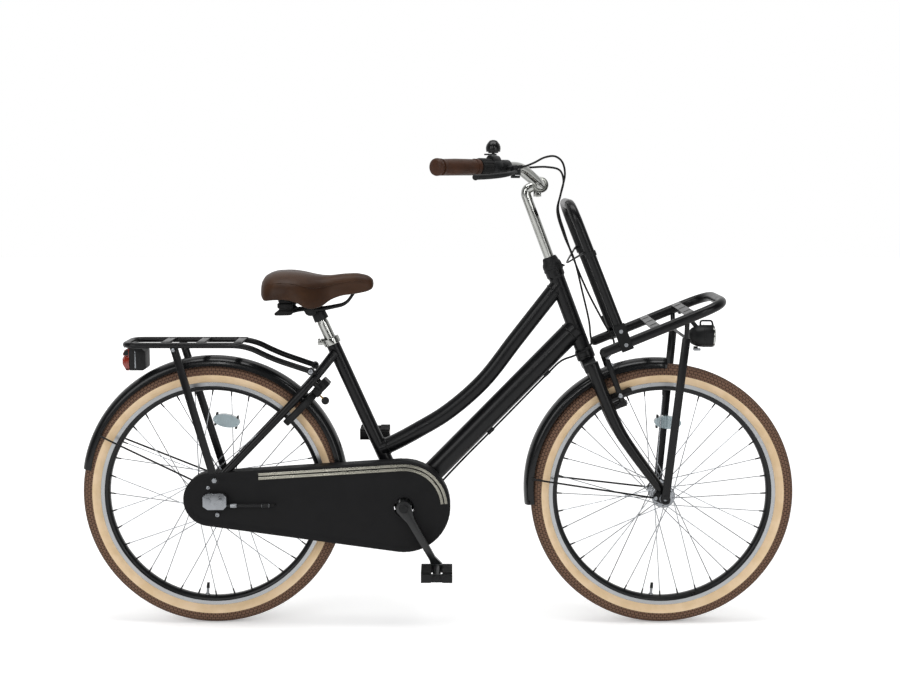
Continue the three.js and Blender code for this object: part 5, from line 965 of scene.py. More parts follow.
def make_bracket():
    """The shifter's pod with its window, the lever's band round the bar and the lever's pivot."""
    pod_a, pod_b = bar_end(-1, 159.8), bar_end(-1, 185.8)
    way = (pod_b - pod_a).normalized()
    pod_band = [(11.5, 0), (16.6, 0), (17.5, 1.5), (17.5, 24), (16.4, 26), (11.5, 26)]
    pod = [(0, 0), (11.6, 0), (12.8, 1.5), (11, 24), (9.6, 26), (0, 26)]
    lever_band = [(11.5, 0), (15, 0), (15.5, 1), (15.5, 28.6), (14.6, 30), (11.5, 30)]
    shapes = [
        lathe(pod_band, pod_a, way, 48), lathe(pod, pod_a + vec(0, 0, 13.2), way, 40),
        lathe(lever_band, pod_b, way, 40),
        rod(bar_end(-1, 205.8) + vec(6, -6, -3), LEVER_PIVOT + vec(0, 0, 8), 7.6, 7, 24),
        rod(LEVER_PIVOT + vec(0, 0, 7.2), LEVER_PIVOT + vec(0, 0, 12.6), 9.4, 8.4, 28),
        rod(LEVER_PIVOT + vec(0, 0, -12.6), LEVER_PIVOT + vec(0, 0, -7.2), 8.4, 9.4, 28),
        block(LEVER_PIVOT + vec(-6, 6, 0), 9, 9, 25), bolt(LEVER_PIVOT + vec(0, 0, 12), (0, 0, 1), 4.4, 2.4),
        rod(vec(689, -168, 1046.6), vec(695, -163.4, 1047.6), 4.2, sides=20),
    ]
    middle = (pod_a + pod_b) / 2
    window = block(middle + vec(-1, 1, 25.2), 17, 9, 1.2)
    spin = Matrix.Rotation(math.radians(45), 4, "Z")
    turn = Matrix.Translation(middle) @ spin @ Matrix.Translation(-middle)
    piece("lever bracket and shifter pod", "steering", PLASTIC, shapes, ["lever_bracket"], bevel=0.8)
    piece("gear window", "steering", GLASS, [moved(window, turn)])


make_bracket()


def make_lever():
    along = bar_way(-1)
    out = vec(along.y, -along.x, 0)
    if out.x < 0:
        out = -out
    shares = [(0, 0, 0), (0.14, 0.1, 0), (0.35, 0.16, -0.03), (0.7, 0.13, -0.06), (1, 0.12, -0.07)]
    reach = 143
    line = smooth([LEVER_PIVOT + (along * a + out * o + vec(0, 0, z)) * reach for a, o, z in shares], 8)
    sizes = [5.6 - 1.5 * math.sin(math.pi * min(i / 20, 1)) for i in range(len(line))]
    shapes = [tube(line, sizes, 20), ball(line[-1], 6.6, 20),
              rod(LEVER_PIVOT + vec(0, 0, -6.2), LEVER_PIVOT + vec(0, 0, 6.2), 10.6)]
    piece("brake lever", "brake_lever", PLASTIC, shapes, ["brake_lever"], bevel=0.6)


make_lever()

BELL = bar_end(1, 184)


def make_bell():
    top = BELL + vec(0, 0, BAR_RADIUS)
    dome = [(15.6, 0), (16.4, 0.4), (17.5, 7), (17.2, 12), (15.4, 17.4), (11.5, 22.6), (8.7, 26),
            (3.5, 27.6), (0, 28), (0, 26.4), (3, 26), (8, 24), (14, 17), (15.8, 10), (15.2, 0.6)]
    shapes = [
        lathe(dome, top + vec(0, 0, 24), (0, 0, 1), 56),
        rod(BELL + vec(0, 0, 9), top + vec(0, 0, 50), 4, sides=20),
        rod(top + vec(0, 0, 21), top + vec(0, 0, 24), 12, sides=40),
        lathe([(11.5, -8), (14.4, -8), (15.1, -7), (15.1, 7), (14.4, 8), (11.5, 8)], BELL, bar_way(1), 40),
    ]
    piece("bell", "steering", GUARD, shapes, ["bell"])
    ring = lathe([(5.3, 0), (8, 0), (8, 4), (5.3, 4)], top + vec(0, 0, 15.8), (0, 0, 1), 28)
    arm = block(vec(-15, 0, 0), 22, 8.4, 3.6)
    pad = lathe([(0, 0), (5.4, 0), (5.4, 3.2), (4.6, 3.8), (0, 3.8)], vec(-23, 0, -1.9), (0, 0, 1), 24)
    turn = Matrix.Translation(top + vec(0, 0, 17.8)) @ Matrix.Rotation(math.radians(45), 4, "Z")
    piece("bell lever", "bell_lever", PLASTIC, [ring, moved(arm, turn), moved(pad, turn)], ["bell_lever"],
          bevel=0.5)


make_bell()


def make_brake_arm(side, name):
    """One bowed arm on its boss, with the pad, its stud and the cable's bolt."""
    bow = [(-0.04, 0), (0.12, 0.5), (0.4, 1), (0.75, 0.9), (1, 0.35)]
    line = smooth([head_point(-128 + up * 106, 40, side * (41 + o * 9)) for up, o in bow], 6)
    body = f"brake_arm_{name}"
    pad_y, arm_y = side * 20.5, side * 41
    pad_line = [(10, -113), (70, -113), (70, -106), (66, -103), (14, -103), (10, -106)]
    pad = in_steering(pad_line, pad_y - 5, pad_y + 5)
    nut = [(0, 0), (6, 0), (6, 3), (4.6, 4.4), (0, 4.4)]
    screw = [(0, 0), (5.6, 0), (5.6, 2.2), (4.6, 3), (2.6, 3), (2.6, 1), (0, 1)]
    shapes = [
        tube(line, 6.4, 20, 0.75),
        rod(head_point(-128, 32.6, arm_y), head_point(-128, 47.4, arm_y), 8.3, sides=28),
        rod(head_point(-108, 40, side * 25), head_point(-108, 40, side * 53), 3.8, sides=16),
        lathe(nut, head_point(-108, 40, side * 53), SIDE * side, 6),
        lathe(screw, head_point(-128, 47.2, arm_y), AHEAD, 24),
        bolt(head_point(-36, 46, side * 47), AHEAD, 4.2, 3),
    ]
    mats = [PLASTIC, PLASTIC, ZINC, ZINC, ZINC, ZINC]
    piece(f"brake arm {name}", body, mats + [RUBBER], shapes + [pad], [body], bevel=0.5)


make_brake_arm(-1, "right")
make_brake_arm(1, "left")

# Mudguards


GUARD_HALF, GUARD_DEPTH, GUARD_WALL = 28.5, 21, 1.3
REAR_GUARD = dict(axle=REAR, radius=304, ahead=2.5, lift=15, start=0, end=171.4)
FRONT_GUARD = dict(axle=FRONT, radius=296.8, ahead=-19, lift=17.5, start=85, end=188)


def guard_section(inset=0.0):
    outer = []
    steps = 22
    for i in range(steps + 1):
        turn = math.pi * i / steps
        high = math.sin(turn) ** 0.75
        outer.append(((GUARD_HALF - inset) * math.cos(turn), GUARD_DEPTH * (high - 1) - inset))
    return outer


def make_guard(name, body, node_name, axle, radius, ahead, lift, start, end):
    centre = axle + vec(ahead, 0, lift)
    section = guard_section() + guard_section(GUARD_WALL)[::-1]
    rings = []
    steps = 72
    for i in range(steps + 1):
        turn = math.radians(start + (end - start) * i / steps)
        way = vec(math.cos(turn), 0, math.sin(turn))
        ends = min(i, steps - i)
        narrow = 0.93 if ends == 0 else 0.985 if ends == 1 else 1.0
        rings.append([centre + way * (radius + 1.4 + out) + SIDE * y * narrow for y, out in section])
    piece(name, body, GUARD, [skin(rings)], [node_name], angle=45)


make_guard("rear mudguard", "frame", "rear_fender", **REAR_GUARD)
make_guard("front mudguard", "steering", "front_fender", **FRONT_GUARD)


def make_stay(name, body, top, foot, side, node_name):
    knee = top.lerp(foot, 0.1) + vec(0, side * 2.6, 0)
    shapes = [
        tube(rounded([top, knee, foot], 12, 6), 2.1, 12),
        rod(foot - SIDE * side * 3.6, foot + SIDE * side * 2.6, 4.8, sides=24),
        hexagon(foot + SIDE * side * 2.4, SIDE * side, 4.6, 2.4),
        rod(vec(top.x, side * 28.8, top.z), vec(top.x, side * 33, top.z), 4.2, sides=20),
    ]
    piece(name, body, [ENAMEL, ENAMEL, ZINC, ENAMEL], shapes, [node_name])


def guard_point(share, side, axle, radius, ahead, lift, start, end):
    """A point just outside the skirt, so far up from the guard's lower end."""
    turn = math.radians(end + (start - end) * share)
    reach = radius - 19.2
    return vec(axle.x + ahead + reach * math.cos(turn), side * 31.1, axle.z + lift + reach * math.sin(turn))


for name, side in (("right", -1), ("left", 1)):
    rear_eye = REAR + vec(-3.5, side * 71.9, 28)
    front_eye = FRONT + SIDE * side * 60.9 - AHEAD * 19.2 + HEAD_UP * 9
    make_stay(f"rear mudguard stay {name}", "frame", guard_point(0.1, side, **REAR_GUARD), rear_eye, side,
              f"rear_fender_stay_{name}")
    make_stay(f"front mudguard stay {name}", "steering", guard_point(0.12, side, **FRONT_GUARD), front_eye,
              side, f"front_fender_stay_{name}")

# Rear carrier and lights


def strut_bar(a, b, width, thick):
    """A flat bar with a shallow groove down both faces."""
    way = (b - a).normalized()
    wide = way.cross(SIDE).normalized()
    thin = way.cross(wide)
    section = [(0.5, 0.42), (0.42, 0.5), (-0.42, 0.5), (-0.5, 0.42), (-0.3, 0.22), (-0.3, -0.22),
               (-0.5, -0.42), (-0.42, -0.5), (0.42, -0.5), (0.5, -0.42), (0.3, -0.22), (0.3, 0.22)]
    return skin([[p + thin * x * thick + wide * y * width for x, y in section] for p in (a, b)])


RACK_REAR, RACK_HALF, RACK_HEIGHT = -190, 60, 650
RACK_SLATS = (-98, -19, 65)
RACK_FOOT = vec(11, 0, 346)
RACK_TIP = vec(228.6, 0, 591)
RACK_TOP = vec(-78, 0, 648)


def make_rack():
    """The bent rail, its three flat slats, two struts and two arms to the seat stays."""
    half = [(RACK_REAR, 0, RACK_HEIGHT), (RACK_REAR, RACK_HALF, RACK_HEIGHT), (84, RACK_HALF, RACK_HEIGHT),
            (141.8, RACK_HALF, 620.5), (RACK_TIP.x, 55.5, RACK_TIP.z)]
    right, left = both(half)
    shapes = [tube(rounded(left[::-1] + right[1:], 44, 10), 6.5, 22)]
    shapes += [block(vec(x, 0, RACK_HEIGHT + 4), 17, 118, 5) for x in RACK_SLATS]
    shapes += [block(vec(x, y, RACK_HEIGHT + 6.8), 15, 1.2, 0.8) for x in RACK_SLATS for y in (-48, 48)]
    for s in (-1, 1):
        shapes.append(strut_bar(RACK_TOP + SIDE * s * RACK_HALF, RACK_FOOT + SIDE * s * 72.3, 17, 8))
        shapes.append(across(RACK_FOOT.x, RACK_FOOT.z, s * 68.4, s * 76.2, 9.5, 32))
        shapes.append(across(RACK_TIP.x, RACK_TIP.z, s * 49, s * 62, 8.4, 28))
        shapes.append(rod(RACK_TIP + SIDE * s * 55.5, RACK_TIP + vec(12.9, s * 35, -11), 5.8, sides=20))
    mats = [ENAMEL] * len(shapes)
    rivet = [(0, 0), (5, 0), (4, 2), (0, 2.6)]
    for s in (-1, 1):
        shapes += [hexagon(RACK_FOOT + SIDE * s * 76, SIDE * s, 6, 4),
                   hexagon(RACK_TIP + SIDE * s * 61.6, SIDE * s, 6, 3.4),
                   lathe(rivet, RACK_TOP + vec(0, s * 63.8, -8), SIDE * s, 20)]
        mats += [ZINC] * 3
    piece("rear carrier", "frame", mats, shapes, ["rear_rack"], bevel=0.5)


make_rack()

LAMP_SHARES = [(1, 0.1), (1, 0.86), (0.86, 1), (0.3, 1), (0.3, 0), (0.9, 0)]
LAMP_REAR, LAMP_FOOT, LAMP_LENGTH, LAMP_HEIGHT, LAMP_HALF = -200, 589, 52, 50, 28


def lamp_outline(shares):
    return [(LAMP_REAR + x * LAMP_LENGTH, LAMP_FOOT + z * LAMP_HEIGHT) for x, z in shares]


piece("tail lamp housing", "frame", [PLASTIC, PLASTIC, ALLOY, PLASTIC], [
    slab(lamp_outline(LAMP_SHARES), -LAMP_HALF, LAMP_HALF), block(vec(-182, 0, 641.3), 36, 28, 3.6),
    slab(lamp_outline([(0.62, 0.1), (0.62, 0.9), (0.5, 0.96), (0.5, 0.04)]), -28.3, 28.3),
    across(-160, 612, -29, 29, 4, 16),
], ["tail_light_housing"], bevel=2.2)
piece("tail lamp lens", "frame", [RED, PLASTIC, PLASTIC, ALLOY], [
    slab(lamp_outline([(0.24, 0.1), (0.24, 0.64), (0.06, 0.66), (0, 0.55), (0, 0.3), (0.1, 0.1)]), -27.6,
         27.6),
    slab(lamp_outline([(0.29, 0.66), (0.29, 0.98), (0.1, 0.94), (0.02, 0.76), (0.04, 0.68)]), -27.8, 27.8),
    slab(lamp_outline([(0.29, 0), (0.29, 0.1), (0.1, 0.09), (0.16, 0)]), -27.8, 27.8),
    slab(lamp_outline([(0.29, 0.1), (0.29, 0.66), (0.24, 0.66), (0.24, 0.1)]), -27.9, 27.9),
], ["tail_light_lens"], bevel=1.6)

# Front carrier

SLOPE = math.radians(22.3)
BASKET_FOOT = vec(881, 0, 641)
BASKET_HALF, BASKET_LENGTH, BASKET_RAIL = 115, 286, 11
BASKET_SLATS = (126, 206)


def basket_point(along, y, up=0.0):
    """A point by its way along the sloping carrier, its side and its height over it."""
    forwards, upwards = vec(math.cos(SLOPE), 0, math.sin(SLOPE)), vec(-math.sin(SLOPE), 0, math.cos(SLOPE))
    return BASKET_FOOT + forwards * along + upwards * up + SIDE * y


def make_front_carrier():
    corners = [(0, 1), (BASKET_LENGTH, 1), (BASKET_LENGTH, -1), (0, -1)]
    line = [basket_point(along, side * BASKET_HALF) for along, side in corners]
    shapes = [tube(rounded(line, 62, 12), BASKET_RAIL, 32)]
    shapes += [ball(basket_point(0, s * BASKET_HALF), BASKET_RAIL - 0.1, 24) for s in (-1, 1)]
    for along in BASKET_SLATS:
        shapes.append(block(basket_point(along, 0, 8.5), 20, 222, 5, SLOPE))
        shapes += [block(basket_point(along, y, 11.2), 16, 3, 1, SLOPE) for y in (-70, 0, 70)]
    piece("front carrier", "steering", ENAMEL, shapes, ["front_carrier"], bevel=0.6)


make_front_carrier()


def make_hoop():
    """The upright hoop, its two bolted foot plates and the wire that ties it to the head tube."""
    foot, top, ring = vec(921, 0, 675), vec(805, 0, 965), vec(848.1, 0, 857.2)
    wire_end = vec(833, 0, 860)
    line = [p + SIDE * s * BASKET_HALF for p, s in ((foot, 1), (top, 1), (top, -1), (foot, -1))]
    shapes = [tube(rounded(line, 50, 12), BASKET_RAIL - 0.1, 32)]
    mats = [ENAMEL]
    up = (top - foot).normalized()
    lean = math.atan2(up.z, up.x)
    for s in (-1, 1):
        shapes.append(block(foot + SIDE * s * 126, 60, 9, 27, lean))
        shapes += [bolt(foot + SIDE * s * 130.2 + up * step, SIDE * s, 4.2, 2.2) for step in (-17, 15)]
        at = ring + SIDE * s * BASKET_HALF
        shapes += [rod(at - up * 5.5, at + up * 5.5, 13, sides=28),
                   rod(at, wire_end + SIDE * s * BASKET_HALF, 4.4, sides=18)]
        mats += [ENAMEL, ZINC, ZINC, PLASTIC, PLASTIC]
    tab = head_point(212, 25.8) + vec(4.4, 0, 0)
    wire = [wire_end + SIDE * BASKET_HALF, tab, wire_end - SIDE * BASKET_HALF]
    shapes.append(tube(rounded(wire, 23, 8), 2.1, 12))
    mats.append(ENAMEL)
    piece("carrier hoop", "steering", mats, shapes, ["carrier_hoop"], bevel=0.7)


make_hoop()


def make_carrier_strut():
    """Two flat struts from the front axle up to the carrier, with a cross rod."""
    shapes = []
    top = vec(1063, 0, 671)
    along = (top.x - BASKET_FOOT.x) / math.cos(SLOPE)
    for s in (-1, 1):
        upper, foot = top + SIDE * s * 104, FRONT + SIDE * s * 71
        shapes.append(strut_bar(upper, foot, 18, 7))
        shapes.append(lathe([(5.4, -3.4), (11.2, -3.4), (11.2, 3.4), (5.4, 3.4)], foot, SIDE, 36))
        shapes.append(rod(upper, basket_point(along, s * BASKET_HALF), 5.4, sides=20))
    shapes.append(across(top.x, top.z, -104, 104, 3.5, 16))
    piece("carrier strut", "steering", ENAMEL, shapes, ["carrier_strut"], bevel=0.8)


make_carrier_strut()


def make_headlight():
    """A round black shell on its arm, with a lens, a bright ring, a small loop above and a clip below."""
    rear = vec(1084, 0, 665)
    ahead = vec(1, 0, 0)
    shell = [(0, 0), (9, 0.3), (13, 1.4), (18, 6), (21.8, 13.5), (24.2, 22), (25.4, 32), (25.5, 52),
             (25.2, 54), (22.4, 54), (21.6, 51), (20.6, 48.6), (0, 46)]
    arm_top = basket_point(BASKET_SLATS[-1], 0, 6)
    hood = [rear + vec(x, 0, z) for x, z in ((26, 23), (26, 35), (52, 35), (54.5, 24))]
    shapes = [
        lathe(shell, rear, ahead, 56), rod(rear + vec(21.6, 0, 15), arm_top, 5, sides=20),
        block(arm_top + vec(math.sin(SLOPE), 0, -math.cos(SLOPE)) * 2.5, 24, 24, 5, SLOPE),
        torus(rear + ahead * 34, ahead, 25.3, 0.8, 56, 10),
        rod(rear + vec(16, 0, -24), rear + vec(16, 0, -28), 5, sides=20),
        tube(rounded(hood, 5, 4), 2.2, 12), block(rear + vec(19, 0, -30.5), 15, 15, 5),
    ]
    mats = [PLASTIC] * (len(shapes) - 1) + [ALLOY]
    piece("headlamp housing", "steering", mats, shapes, ["headlight_housing"], bevel=0.5)
    lens = [(0, 0.4), (19.6, 0.4), (20.2, 2), (20.4, 5), (19, 8), (15.3, 9), (0, 10.8)]
    bowl = [(0, 0), (19, 0), (19.4, 0.4), (0, 0.5)]
    piece("headlamp lens", "steering", [GLASS, MIRROR], [
        lathe(lens, rear + ahead * 49.2, ahead, 56), lathe(bowl, rear + ahead * 48.9, ahead, 40),
    ], ["headlight_lens"])
    ring = [(20.6, -1.6), (24.6, -1.6), (25.4, 0), (25, 2.6), (23.2, 4.2), (21, 4.2), (20.6, 3.4)]
    piece("headlamp rim", "steering", CHROME, [lathe(ring, rear + ahead * 53.9, ahead, 56)])


make_headlight()

# Drive

CHAIN_PITCH, RING_TEETH = 12.7, 38
RING_RADIUS = CHAIN_PITCH / 2 / math.sin(math.pi / RING_TEETH)
CASE_FRONT, CASE_REAR, CASE_FACE, CASE_LINING = 105, 61, -75.9, -73.8
CRANK_LENGTH, CRANK_ANGLE = 152, math.radians(60.6)
ARC_STEPS = 28


def belt_line(big, small, steps=ARC_STEPS):
    """The outline of a belt round the bracket and the rear axle: the front arc, then the rear one."""
    span = BRACKET - REAR
    lean = math.asin((big - small) / span.length)
    tilt = math.atan2(span.z, span.x)
    points = []
    for centre, radius, half, base in ((BRACKET, big, math.pi / 2 + lean, 0.0),
                                       (REAR, small, math.pi / 2 - lean, math.pi)):
        for i in range(steps + 1):
            turn = tilt + base - half + 2 * half * i / steps
            points.append((centre.x + radius * math.cos(turn), centre.z + radius * math.sin(turn)))
    return points


def case_line(inset):
    return belt_line(CASE_FRONT - inset, CASE_REAR - inset)


def case_wall(levels):
    """Rings from the open edge over the rounded rim, each given as (inset, y)."""
    return skin([[vec(x, y, z) for x, z in case_line(inset)] for inset, y in levels], caps=False)


def plate_with_hole(outline, y, holes):
    """A flat face in X and Z with round holes, as one filled mesh."""
    bm = bmesh.new()
    edges = []
    for loop in [outline] + holes:
        made = [bm.verts.new((x, y, z)) for x, z in loop]
        edges += [bm.edges.new((made[i], made[(i + 1) % len(made)])) for i in range(len(made))]
    bmesh.ops.triangle_fill(bm, use_beauty=True, use_dissolve=True, edges=edges, normal=(0, -1, 0))
    bm.verts.index_update()
    points = [v.co.copy() for v in bm.verts]
    faces = [tuple(v.index for v in f.verts) for f in bm.faces]
    bm.free()
    return points, faces


def circle(cx, cz, radius, count=48):
    turns = [2 * math.pi * k / count for k in range(count)]
    return [(cx + radius * math.cos(t), cz + radius * math.sin(t)) for t in turns]


def make_case():
    """The dished cover with its grooved face, its lining and the spindle's hole."""
    flat = 22
    shell = case_wall([(0.0, -39.4), (0.0, -71.0), (0.5, -73.2), (1.5, -74.8), (3.0, -75.6), (5.0, -76.0),
                       (11.0, -76.0), (12.5, -75.2), (20.0, -75.2), (flat, CASE_FACE)])
    lining = case_wall([(2, -39.4), (2, -71), (5, CASE_LINING), (flat, CASE_LINING)])
    hole = circle(BRACKET.x, BRACKET.z, 22)
    face = plate_with_hole(case_line(flat), CASE_FACE, [hole])
    hole_wall = skin([[vec(x, y, z) for x, z in hole] for y in (CASE_FACE, CASE_LINING)], caps=False)
    lip = [(22.2, 0.6), (24.4, 1.4), (26.6, 0.6), (26.8, -0.4), (22.2, -0.4)]
    dimple = lathe(lip, BRACKET + SIDE * CASE_FACE, -SIDE, 64)
    piece("chain case cover", "frame", CASE, [shell, lining, face, hole_wall, dimple], ["chaincase_outer"],
          angle=50)


make_case()


def clip_strip(a, b, y0, y1):
    """A strip between two insets of the case's line, kept above the bracket and ahead of the axle."""
    outer, inner = case_line(a), case_line(b)
    keep = [i for i, (x, z) in enumerate(outer) if z > 283 and x > 96 and i <= ARC_STEPS]
    # The line runs from the front's foot to its top, and then along the top edge to the rear.
    start, tail, rear = min(keep), max(keep), ARC_STEPS + 1
    share = (110 - outer[tail][0]) / (outer[rear][0] - outer[tail][0])
    top_outer, top_inner = [
        line[start:tail + 1] + [tuple(p + (q - p) * share for p, q in zip(line[tail], line[rear]))]
        for line in (outer, inner)
    ]
    rings = []
    for (ox, oz), (ix, iz) in zip(top_outer, top_inner):
        mx, mz = (ox + ix) / 2, (oz + iz) / 2
        rings.append([vec(ox, y0, oz), vec(ox, y1 + 0.5, oz), vec((ox + mx) / 2, y1, (oz + mz) / 2),
                      vec(mx, y1 + 0.7, mz), vec((ix + mx) / 2, y1, (iz + mz) / 2), vec(ix, y1 + 0.5, iz),
                      vec(ix, y0, iz)])
    return skin(rings)


piece("chain case trim", "frame", TRIM, [
    clip_strip(6.5, 12.6, -76.0, -78.2), clip_strip(15.4, 21.6, -75.6, -78.2),
], ["chaincase_trim"])


def crank_outline():
    """The arm's side view: a round boss at each end and a waist that tapers."""
    boss, eye, steps = 17, 13, 16
    halves = [math.pi * i / steps for i in range(steps + 1)]
    points = [(-boss * math.sin(t), boss * math.cos(t)) for t in halves]
    points += [(33, -8.9), (131, -7.2)]
    points += [(CRANK_LENGTH + eye * math.sin(t), -eye * math.cos(t)) for t in halves]
    return points + [(131, 7.2), (33, 8.9)]


def make_crank(side, name, replaced):
    """Side -1 is the right crank, with the chain ring's spider behind the case."""
    base = Matrix.Translation(BRACKET) @ Matrix.Rotation(CRANK_ANGLE, 4, "Y")
    if side > 0:
        base = base @ Matrix.Rotation(math.pi, 4, "Y")
    y0, y1 = side * 81, side * 94
    shapes = [slab(crank_outline(), y0, y1), across(CRANK_LENGTH, 0, side * 88, side * 187, 4.2, 20),
              across(0, 0, side * 42.8 if side < 0 else 37, side * 86, 17 if side < 0 else 16.5, 40),
              lathe([(0, 0), (10.5, 0), (10.5, 1.6), (9, 2.8), (0, 3.4)], vec(0, y1, 0), SIDE * side, 32),
              lathe([(0, 0), (7, 0), (7, 4), (5.6, 5.4), (0, 5.4)], vec(CRANK_LENGTH, y1, 0), SIDE * side, 6)]
    mats = [CRANKS, ZINC, CRANKS, PLASTIC, ZINC]
    if side < 0:
        shapes.append(across(0, 0, -86, 86, 8.5, 28))
        mats.append(ZINC)
        faces = (-46.1, -43.9)
        root, tooth = RING_RADIUS - 4.4, 6.1
        ring = []
        for i in range(RING_TEETH):
            for share, high in ((-0.4, 0), (-0.12, 1), (0.12, 1), (0.4, 0)):
                a = (i + share) / RING_TEETH * 2 * math.pi
                r = root + high * tooth
                ring.append((r * math.cos(a), r * math.sin(a)))
        inside = circle(0, 0, RING_RADIUS * 0.82)
        shapes.append(skin([[vec(x, y, z) for x, z in ring] for y in faces], caps=False))
        shapes += [plate_with_hole(ring, y, [inside]) for y in faces]
        shapes.append(skin([[vec(x, y, z) for x, z in inside] for y in faces], caps=False))
        mats += [ZINC] * 4
        for i in range(5):
            a = i / 5 * 2 * math.pi
            shapes.append(moved(block(vec(33.1, -45, 0), 66, 3.9, 14), Matrix.Rotation(-a, 4, "Y")))
            mats.append(CRANKS)
    piece(name, "cranks", mats, [moved(s, base) for s in shapes], [replaced], bevel=0.9)


make_crank(-1, "right crank and ring", "crank_right")
make_crank(1, "left crank", "crank_left")


def make_pedal(side, name):
    """A block pedal: two ribbed rubber treads, two end plates and an amber bar in front and behind."""
    arm = vec(math.cos(CRANK_ANGLE), 0, -math.sin(CRANK_ANGLE)) * CRANK_LENGTH
    centre = BRACKET - arm * side
    near, far = side * 106, side * 194
    mid = (near + far) / 2
    base = Matrix.Translation(centre)
    shapes = [
        across(0, 0, near, far, 9, 28),
        lathe([(0, 0), (9, 0), (8, 3), (0, 4)], vec(0, far, 0), SIDE * side, 24),
    ]
    mats = [PLASTIC, PLASTIC]
    for y in (near + side * 3, far - side * 3):
        shapes.append(block(vec(0, y, 0), 66, 5.9, 17.5))
        mats.append(PLASTIC)
    for end in (-1, 1):
        shapes.append(block(vec(end * 23.5, mid, 0), 21.6, 77, 23))
        mats.append(RUBBER)
        for k in range(9):
            shapes.append(block(vec(end * 23.5, mid + (k - 4) * 8.2, 0), 21.9, 4.6, 24.8))
            mats.append(RUBBER)
        shapes.append(block(vec(end * 34.0, mid, 0), 1.0, 30, 9))
        mats.append(AMBER)
    piece(f"{name} pedal", f"pedal_{name}", mats, [moved(s, base) for s in shapes], [f"pedal_{name}"],
          bevel=0.8)


make_pedal(-1, "right")
make_pedal(1, "left")


def make_shift_box():
    """The shift box over the axle's end, with its cable rod and plug."""
    y0, y1, rod_y, rod_z = -81.0, -94.4, -87.8, 291
    shares = [(-0.5, -0.3), (-0.5, 0.3), (-0.3, 0.5), (0.36, 0.5), (0.5, 0.3), (0.5, -0.3), (0.36, -0.5),
              (-0.3, -0.5)]
    outline = [(13 + x * 53, REAR.z + z * 37) for x, z in shares]
    shapes = [slab(outline, y0, y1), across(25, REAR.z + 2, -93, -95.6, 6.5, 32),
              across(-3, REAR.z, -94, -96, 8, 32), bolt(vec(17, -77.6, 268), (0, -1, 0), 5, 4),
              rod(vec(13, rod_y, rod_z), vec(136, rod_y, rod_z), 3.3, sides=18),
              rod(vec(48, rod_y, rod_z), vec(62, rod_y, rod_z), 5.2, sides=8),
              rod(vec(118, rod_y, rod_z), vec(134, rod_y, rod_z), 4.6, sides=18)]
    piece("hub gear box", "frame", [ALLOY, ALLOY, ZINC, ZINC, PLASTIC, ZINC, PLASTIC], shapes,
          ["hub_shifter_box"], bevel=2.6)


make_shift_box()

# Ring lock

# The lock is drawn flat, with X out from the axle, and then turned up to the seat stays.
LOCK = Matrix.Translation(REAR) @ Matrix.Rotation(-math.radians(45), 4, "Y")
LOCK_CENTRE = vec(280, 0, 0)
SHACKLE_RING = 50
KEYHOLE = vec(336, -18, -9.6)


def arc_band(inner, outer, start, end, half, steps=48):
    """A flat band round the lock's centre, with eased edges."""
    corners = [(inner, -half + 2), (inner + 1.5, -half), (outer - 2, -half), (outer, -half + 2.5),
               (outer, half - 2.5), (outer - 2, half), (inner + 1.5, half), (inner, half - 2)]
    rings = []
    for i in range(steps + 1):
        turn = math.radians(start + (end - start) * i / steps)
        way = vec(math.cos(turn), math.sin(turn), 0)
        rings.append([LOCK_CENTRE + way * r + vec(0, 0, z) for r, z in corners])
    return skin(rings)


def ring_point(degrees):
    turn = math.radians(degrees)
    return LOCK_CENTRE + vec(math.cos(turn), math.sin(turn), 0) * SHACKLE_RING


def make_lock():
    body = []
    for z, grow in ((-9.6, -1.5), (-8, 0), (8, 0), (9.6, -1.5)):
        right = [(330, -28 - grow), (362 + grow, -28 - grow), (371 + grow, -20 - grow)]
        outline = right + [(x, -y) for x, y in right[::-1]]
        body.append([vec(x, y, z) for x, y in outline])
    shapes = [moved(arc_band(42, 58, -138, 138, 8), LOCK), moved(skin(body), LOCK)]
    mats = [PLASTIC, PLASTIC]
    for s in (-1, 1):
        local = LOCK.inverted() @ seat_stay(s)[8]
        shapes.append(moved(rod(vec(local.x, s * 28, 0), vec(local.x, local.y, local.z), 5.6, sides=20),
                            LOCK))
        mats.append(PLASTIC)
    shapes.append(moved(lathe([(3.2, 0), (7.6, 0), (7.6, 1.4), (3.2, 1.4)], KEYHOLE, (0, 0, -1), 32), LOCK))
    mats.append(ZINC)
    piece("ring lock", "frame", mats, shapes, ["ring_lock_housing"], bevel=0.8)
    line = [ring_point(28 + 108 * i / 40) for i in range(41)]
    knob = ring_point(36)
    out = (knob - LOCK_CENTRE).normalized()
    shackle = [tube(line, 4.5, 18), rod(knob, knob + out * 17.6, 2.4, sides=16),
               ball(knob + out * 17.6, 4.8, 18)]
    piece("lock shackle", "lock_shackle", [ZINC, ZINC, PLASTIC], [moved(s, LOCK) for s in shackle],
          ["ring_lock_shackle"])
    foot, end = KEYHOLE + vec(0, 0, 4.8), KEYHOLE - vec(0, 0, 11.2)
    bow = [(0, -1.7), (8.2, -1.7), (9, -0.9), (9, 0.9), (8.2, 1.7), (0, 1.7)]
    key = [rod(foot, end, 2.1, sides=14), lathe(bow, end - vec(0, 0, 7.2), SIDE, 32)]
    piece("lock key", "lock_key", [BRASS, PLASTIC], [moved(s, LOCK) for s in key], ["ring_lock_key"])


make_lock()

# Cables

